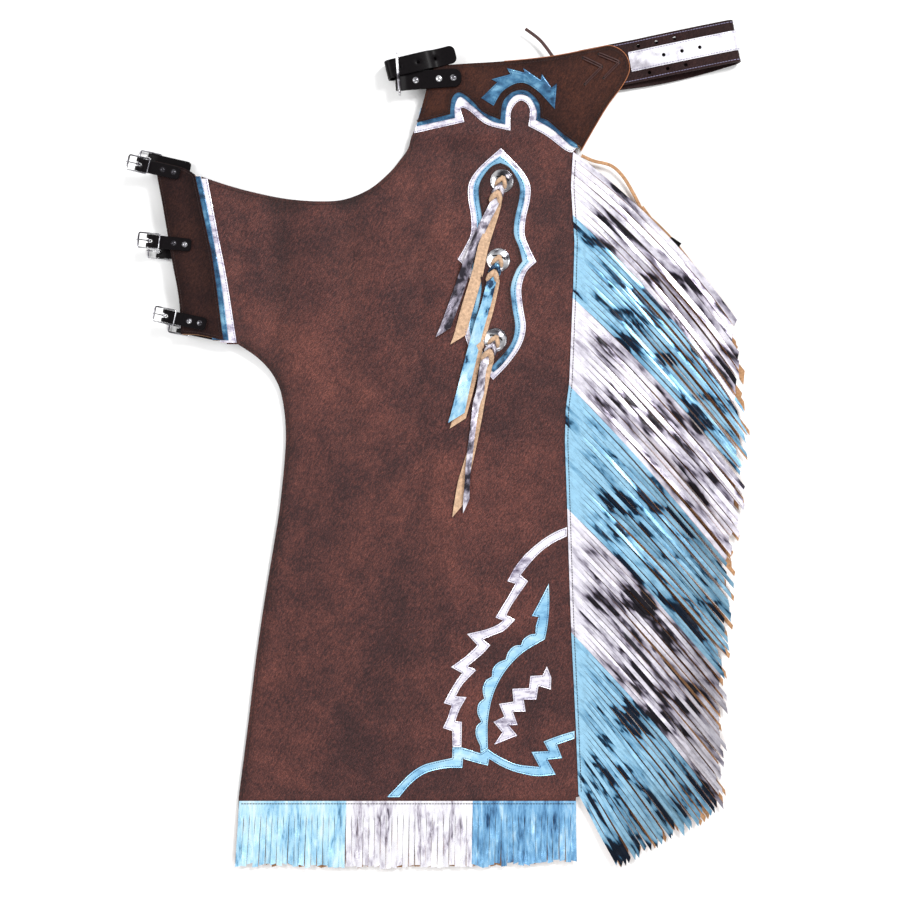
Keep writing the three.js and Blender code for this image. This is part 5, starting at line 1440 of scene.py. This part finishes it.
# Columns: across and down the photograph and the width there, in its pixels, from knot to tip;
# the first ribbon of each concho lies on top
STREAMERS = [
    ([(496, 198, 7), (494, 205, 9), (484.5, 224, 9), (475, 244.5, 9), (466, 269.5, 10),
      (455.5, 300, 10.5), (446.5, 325, 10.5), (443.3, 333, 10.5)],
     [(498, 200, 6), (497, 210, 6), (484, 245, 10.5), (477.5, 273.5, 11), (467.3, 308, 12),
      (460.5, 333, 11.5), (458.2, 340, 11.5)]),
    ([(493, 276, 8), (491.5, 282, 9.5), (485.8, 305, 9.5), (479.3, 326, 10.5), (472.2, 353, 11),
      (465.6, 380, 12), (458.5, 410, 13), (456.3, 418, 13)],
     [(496, 280, 6), (495, 285, 8), (489, 309, 9.5), (482.5, 330, 10.5), (475.6, 357, 11),
      (469, 384, 12), (460, 416, 12.5), (457.8, 423.5, 12.5)]),
    ([(489, 356, 7), (483, 368.5, 8), (480, 392, 8.5), (476, 406, 7), (471.5, 440, 6),
      (468, 470.5, 6), (466.4, 498, 6.5), (466.2, 506, 6.5)],
     [(491, 360, 6), (488, 371, 6), (482, 400, 6), (478, 420, 7), (471, 452, 8), (463, 482, 10),
      (459, 503, 9.5), (457.9, 510.5, 9.5)]),
]
TIP_SLANT = 7.5 * PIXEL
SLANTED = 0.97
RIBBON_STEP = 2.2 * MM
KNOT_LIFT = 1.6 * MM
MEDALLION_STEPS = [(smooth(medallion_rows(layer * MEDALLION_REVEAL)), top)
                   for layer, top in ((2, OVERLAY_TOP), (1, BLUE_TOP), (0, SILVER_TOP))]


def support(spot):
    """Returns the height of the leather under a spot of the medallion's surroundings."""
    return next((top for outline, top in MEDALLION_STEPS if inside_of(as_array([spot]), outline)[0]),
                PANEL_TOP)


def streamer(shape, rows, lift, wave, chance):
    """Adds a ribbon along rows of photograph places, from its knot to a tip that is cut on a slant."""
    points = [pixel_place(x, y) for x, y, _ in rows]
    last = len(points) - 1
    dense = []
    for i in range(last):
        before, after = points[max(i - 1, 0)], points[min(i + 2, last)]
        here, there = points[i], points[i + 1]
        pieces = max(2, round((there - here).length / RIBBON_STEP))
        dense += [(curve(here, there, (there - before) / 2, (after - here) / 2, k / pieces),
                   blend_of(rows[i][2], rows[i + 1][2], k / pieces) * PIXEL) for k in range(pieces)]
    dense.append((points[-1], rows[-1][2] * PIXEL))
    count = len(dense)
    rest = [support(spot) for spot, _ in dense]
    rest = [sum(rest[max(0, i - 3):i + 4]) / len(rest[max(0, i - 3):i + 4]) for i in range(count)]
    phase = chance.uniform(0, 6)
    spots = []
    for i, (spot, width) in enumerate(dense):
        along = (dense[min(i + 1, count - 1)][0] - dense[max(i - 1, 0)][0]).normalized()
        left = Vector((-along.y, along.x))
        share = i / (count - 1)
        slant = SLANTED * TIP_SLANT * max(0, 1 - (dense[-1][0] - spot).length / TIP_SLANT)
        roll = wave * math.sin(phase + share * 9)
        knot = KNOT_LIFT * (1 - fade(share, 0, 0.12))
        height = level_at(spot.x, spot.y) + rest[i] + GAP + lift + knot
        for across, up in ((-1, 1), (-0.5, 1.12), (0, 1.18), (0.5, 1.12), (1, 1), (1, 0), (-1, 0)):
            out = across * width / 2
            rise = abs(width / 2 * math.sin(roll)) + out * math.sin(roll)
            where = spot + left * out * math.cos(roll) - along * slant * across
            spots.append((where.x, where.y, height + up * STRING_LEATHER + rise))
    shape.ribbon(spots, first=1)


# Columns: along from the concho's slot to the crossing, its lace's half width, its rise over what
# lies under it, all in mm, and its finish
CROSSINGS = [(0, 2.6, 0, 0), (10, 2.6, 0.6, 2), (18.5, 2.9, 3.4, 1), (20.5, 2.6, 3, 0)]
CROSSING_HALF = 5.6 * MM
CROSSING_DROP = 9 * MM
SLOT_HALF = 8 * MM


def on_concho(spot, middle, radius):
    """Returns the height of the concho, or of the leather beside it, under a spot."""
    share = (spot - middle).length / radius
    return max(OVERLAY_TOP, CREST_LOW + CONCHO_HEIGHT * (1 - share * share))


def crossing(shape, top, along, thick, height_at, finish):
    """Adds two arms of a lace that part at the middle and turn under at the sides.

    The rows hold how far out and down an arm goes, its rise and its thickness, as shares."""
    aside = Vector((-along.y, along.x))
    for sign in (-1, 1):
        points, radii = [], []
        for out, down, rise, share in ((-0.3, -0.15, 0.3, 0.7), (0.05, 0.05, 1.1, 0.95),
                                       (0.45, 0.3, 1.3, 1.05), (0.85, 0.7, 1, 1),
                                       (1, 1.05, 0.2, 0.85), (0.8, 1.25, -0.8, 0.6)):
            where = top + along * down * CROSSING_DROP + aside * sign * out * CROSSING_HALF
            height = height_at(where) + (rise + 0.2 * (sign > 0)) * thick
            points.append(Vector((where.x, where.y, height)))
            radii.append(thick * share)
        shape.tube(points, radii, sides=14, finish=finish)


def plait(shape, middle, radius, tie, level):
    """Adds the laces that cross each other from a concho's slot down to the tie, and a dark tube of
    painted shade in the slot.
    """
    along = (tie - middle).normalized()
    aside = Vector((-along.y, along.x))
    top = middle - along * 3 * MM

    def height_at(spot, rise=0):
        return level + on_concho(spot, middle, radius) + rise

    for distance, thick, rise, finish in CROSSINGS:
        crossing(shape, top + along * distance * MM, along, thick * MM,
                 lambda spot: height_at(spot, rise * MM), finish)
    # The slot is a dark tube: painted shade inside the concho's slot.
    slot_path = []
    for out in np.linspace(-1, 1, 11):
        where = top + aside * out * SLOT_HALF + along * (out * out * 2.2 - 1.6) * MM
        slot_path.append(Vector((where.x, where.y, height_at(where) - 0.5 * MM)))
    shape.tube(slot_path, 1.25 * MM, sides=10, finish=3)


# Columns: out from the middle and up, in shares of the radius and of the height
CONCHO_PROFILE = [(1.0, 0.0), (1.0, 0.22), (0.97, 0.36), (0.93, 0.4), (0.895, 0.36), (0.87, 0.3),
                  (0.84, 0.34), (0.74, 0.52), (0.6, 0.72), (0.42, 0.88), (0.22, 0.97), (0.02, 1.0)]
for i, (across, up) in enumerate(CONCHOS):
    number = i + 1
    spot = place(across, up)
    level = level_at(spot.x, spot.y)
    radius = (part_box(f"concho_{number}")[1].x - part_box(f"concho_{number}")[0].x) / 2
    shape = Shape()
    shape.lathe([(out * radius, high * CONCHO_HEIGHT) for out, high in CONCHO_PROFILE],
                (spot.x, spot.y, level + CREST_LOW), 56)
    shape.make(f"concho_{number}_dome", [NICKEL], "steel", [f"concho_{number}"], angle=60)
    top, under = STREAMERS[i]
    foil = (SILVER_STREAMER, BLUE_STREAMER, SILVER_STREAMER)[i]
    chance = random.Random(90 + i)
    tie = pixel_place(*top[1][:2])
    shape = Shape()
    streamer(shape, under, 0, 0.12, chance)
    plait(shape, spot, radius, tie, level)
    shape.make(f"concho_string_{number}_lace", [TAN, TAN, foil, HOLE_SHADE], "lace_leather",
               [f"concho_string_{number}"])
    shape = Shape()
    streamer(shape, top, STRING_LEATHER + 0.4 * MM, 0.22 if i < 2 else 0.5, chance)
    shape.make(f"concho_string_{number}_foil", [foil, TAN],
               "blue_foil" if foil is BLUE_STREAMER else "silver_foil")


# The leg panels are sheets of leather, with their trims and fringes sewn on; here only their outline is
# taken, and which panel rests on which is listed but not used.
PANEL_OUTLINE = smooth(PANEL)
for side_name, panel, rests_on in (("near_", near_panel, [far_panel]), ("far_", far_panel, [])):
    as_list(rests_on)


# The camera, straight above the chaps
CENTRE = pixel_place(450, 450)
EYE_LEVEL = 2.6
camera = add_object("camera", bpy.data.cameras.new("camera"))
camera.location = (CENTRE.x, CENTRE.y, EYE_LEVEL)
camera.data.lens = 36 * EYE_LEVEL / (900 * PIXEL)
camera.data.sensor_width = 36
bpy.context.scene.camera = camera

floor_mesh = bpy.data.meshes.new("floor")
floor_mesh.from_pydata([(-4, -4, 0), (4, -4, 0), (4, 4, 0), (-4, 4, 0)], [], [(0, 1, 2, 3)])
floor = add_object("floor", floor_mesh)
white = bpy.data.materials.new("white floor")
white.use_nodes = True
white_shader = white.node_tree.nodes["Principled BSDF"]
white_shader.inputs["Base Color"].default_value = (0.92, 0.92, 0.92, 1)
white_shader.inputs["Roughness"].default_value = 0.9
floor_mesh.materials.append(white)


def area_light(name, spot, size, power):
    light = bpy.data.lights.new(name, "AREA")
    light.shape = "DISK"
    light.size = size
    light.energy = power
    lamp = add_object(name, light)
    lamp.location = spot
    lamp.rotation_mode = "QUATERNION"
    lamp.rotation_quaternion = (-Vector(spot)).to_track_quat("-Z", "Y")


area_light("key", (1.5, 1.7, 2.2), 0.9, 78)
area_light("fill", (-2.0, 0.6, 2.0), 1.6, 34)
area_light("low fill", (0.5, -2.2, 1.8), 1.6, 34)
world = bpy.data.worlds.new("world")
bpy.context.scene.world = world
world.use_nodes = True
background = world.node_tree.nodes["Background"]
background.inputs["Color"].default_value = (1, 1, 1, 1)
background.inputs["Strength"].default_value = 0.55
bpy.context.scene.view_settings.view_transform = "Standard"
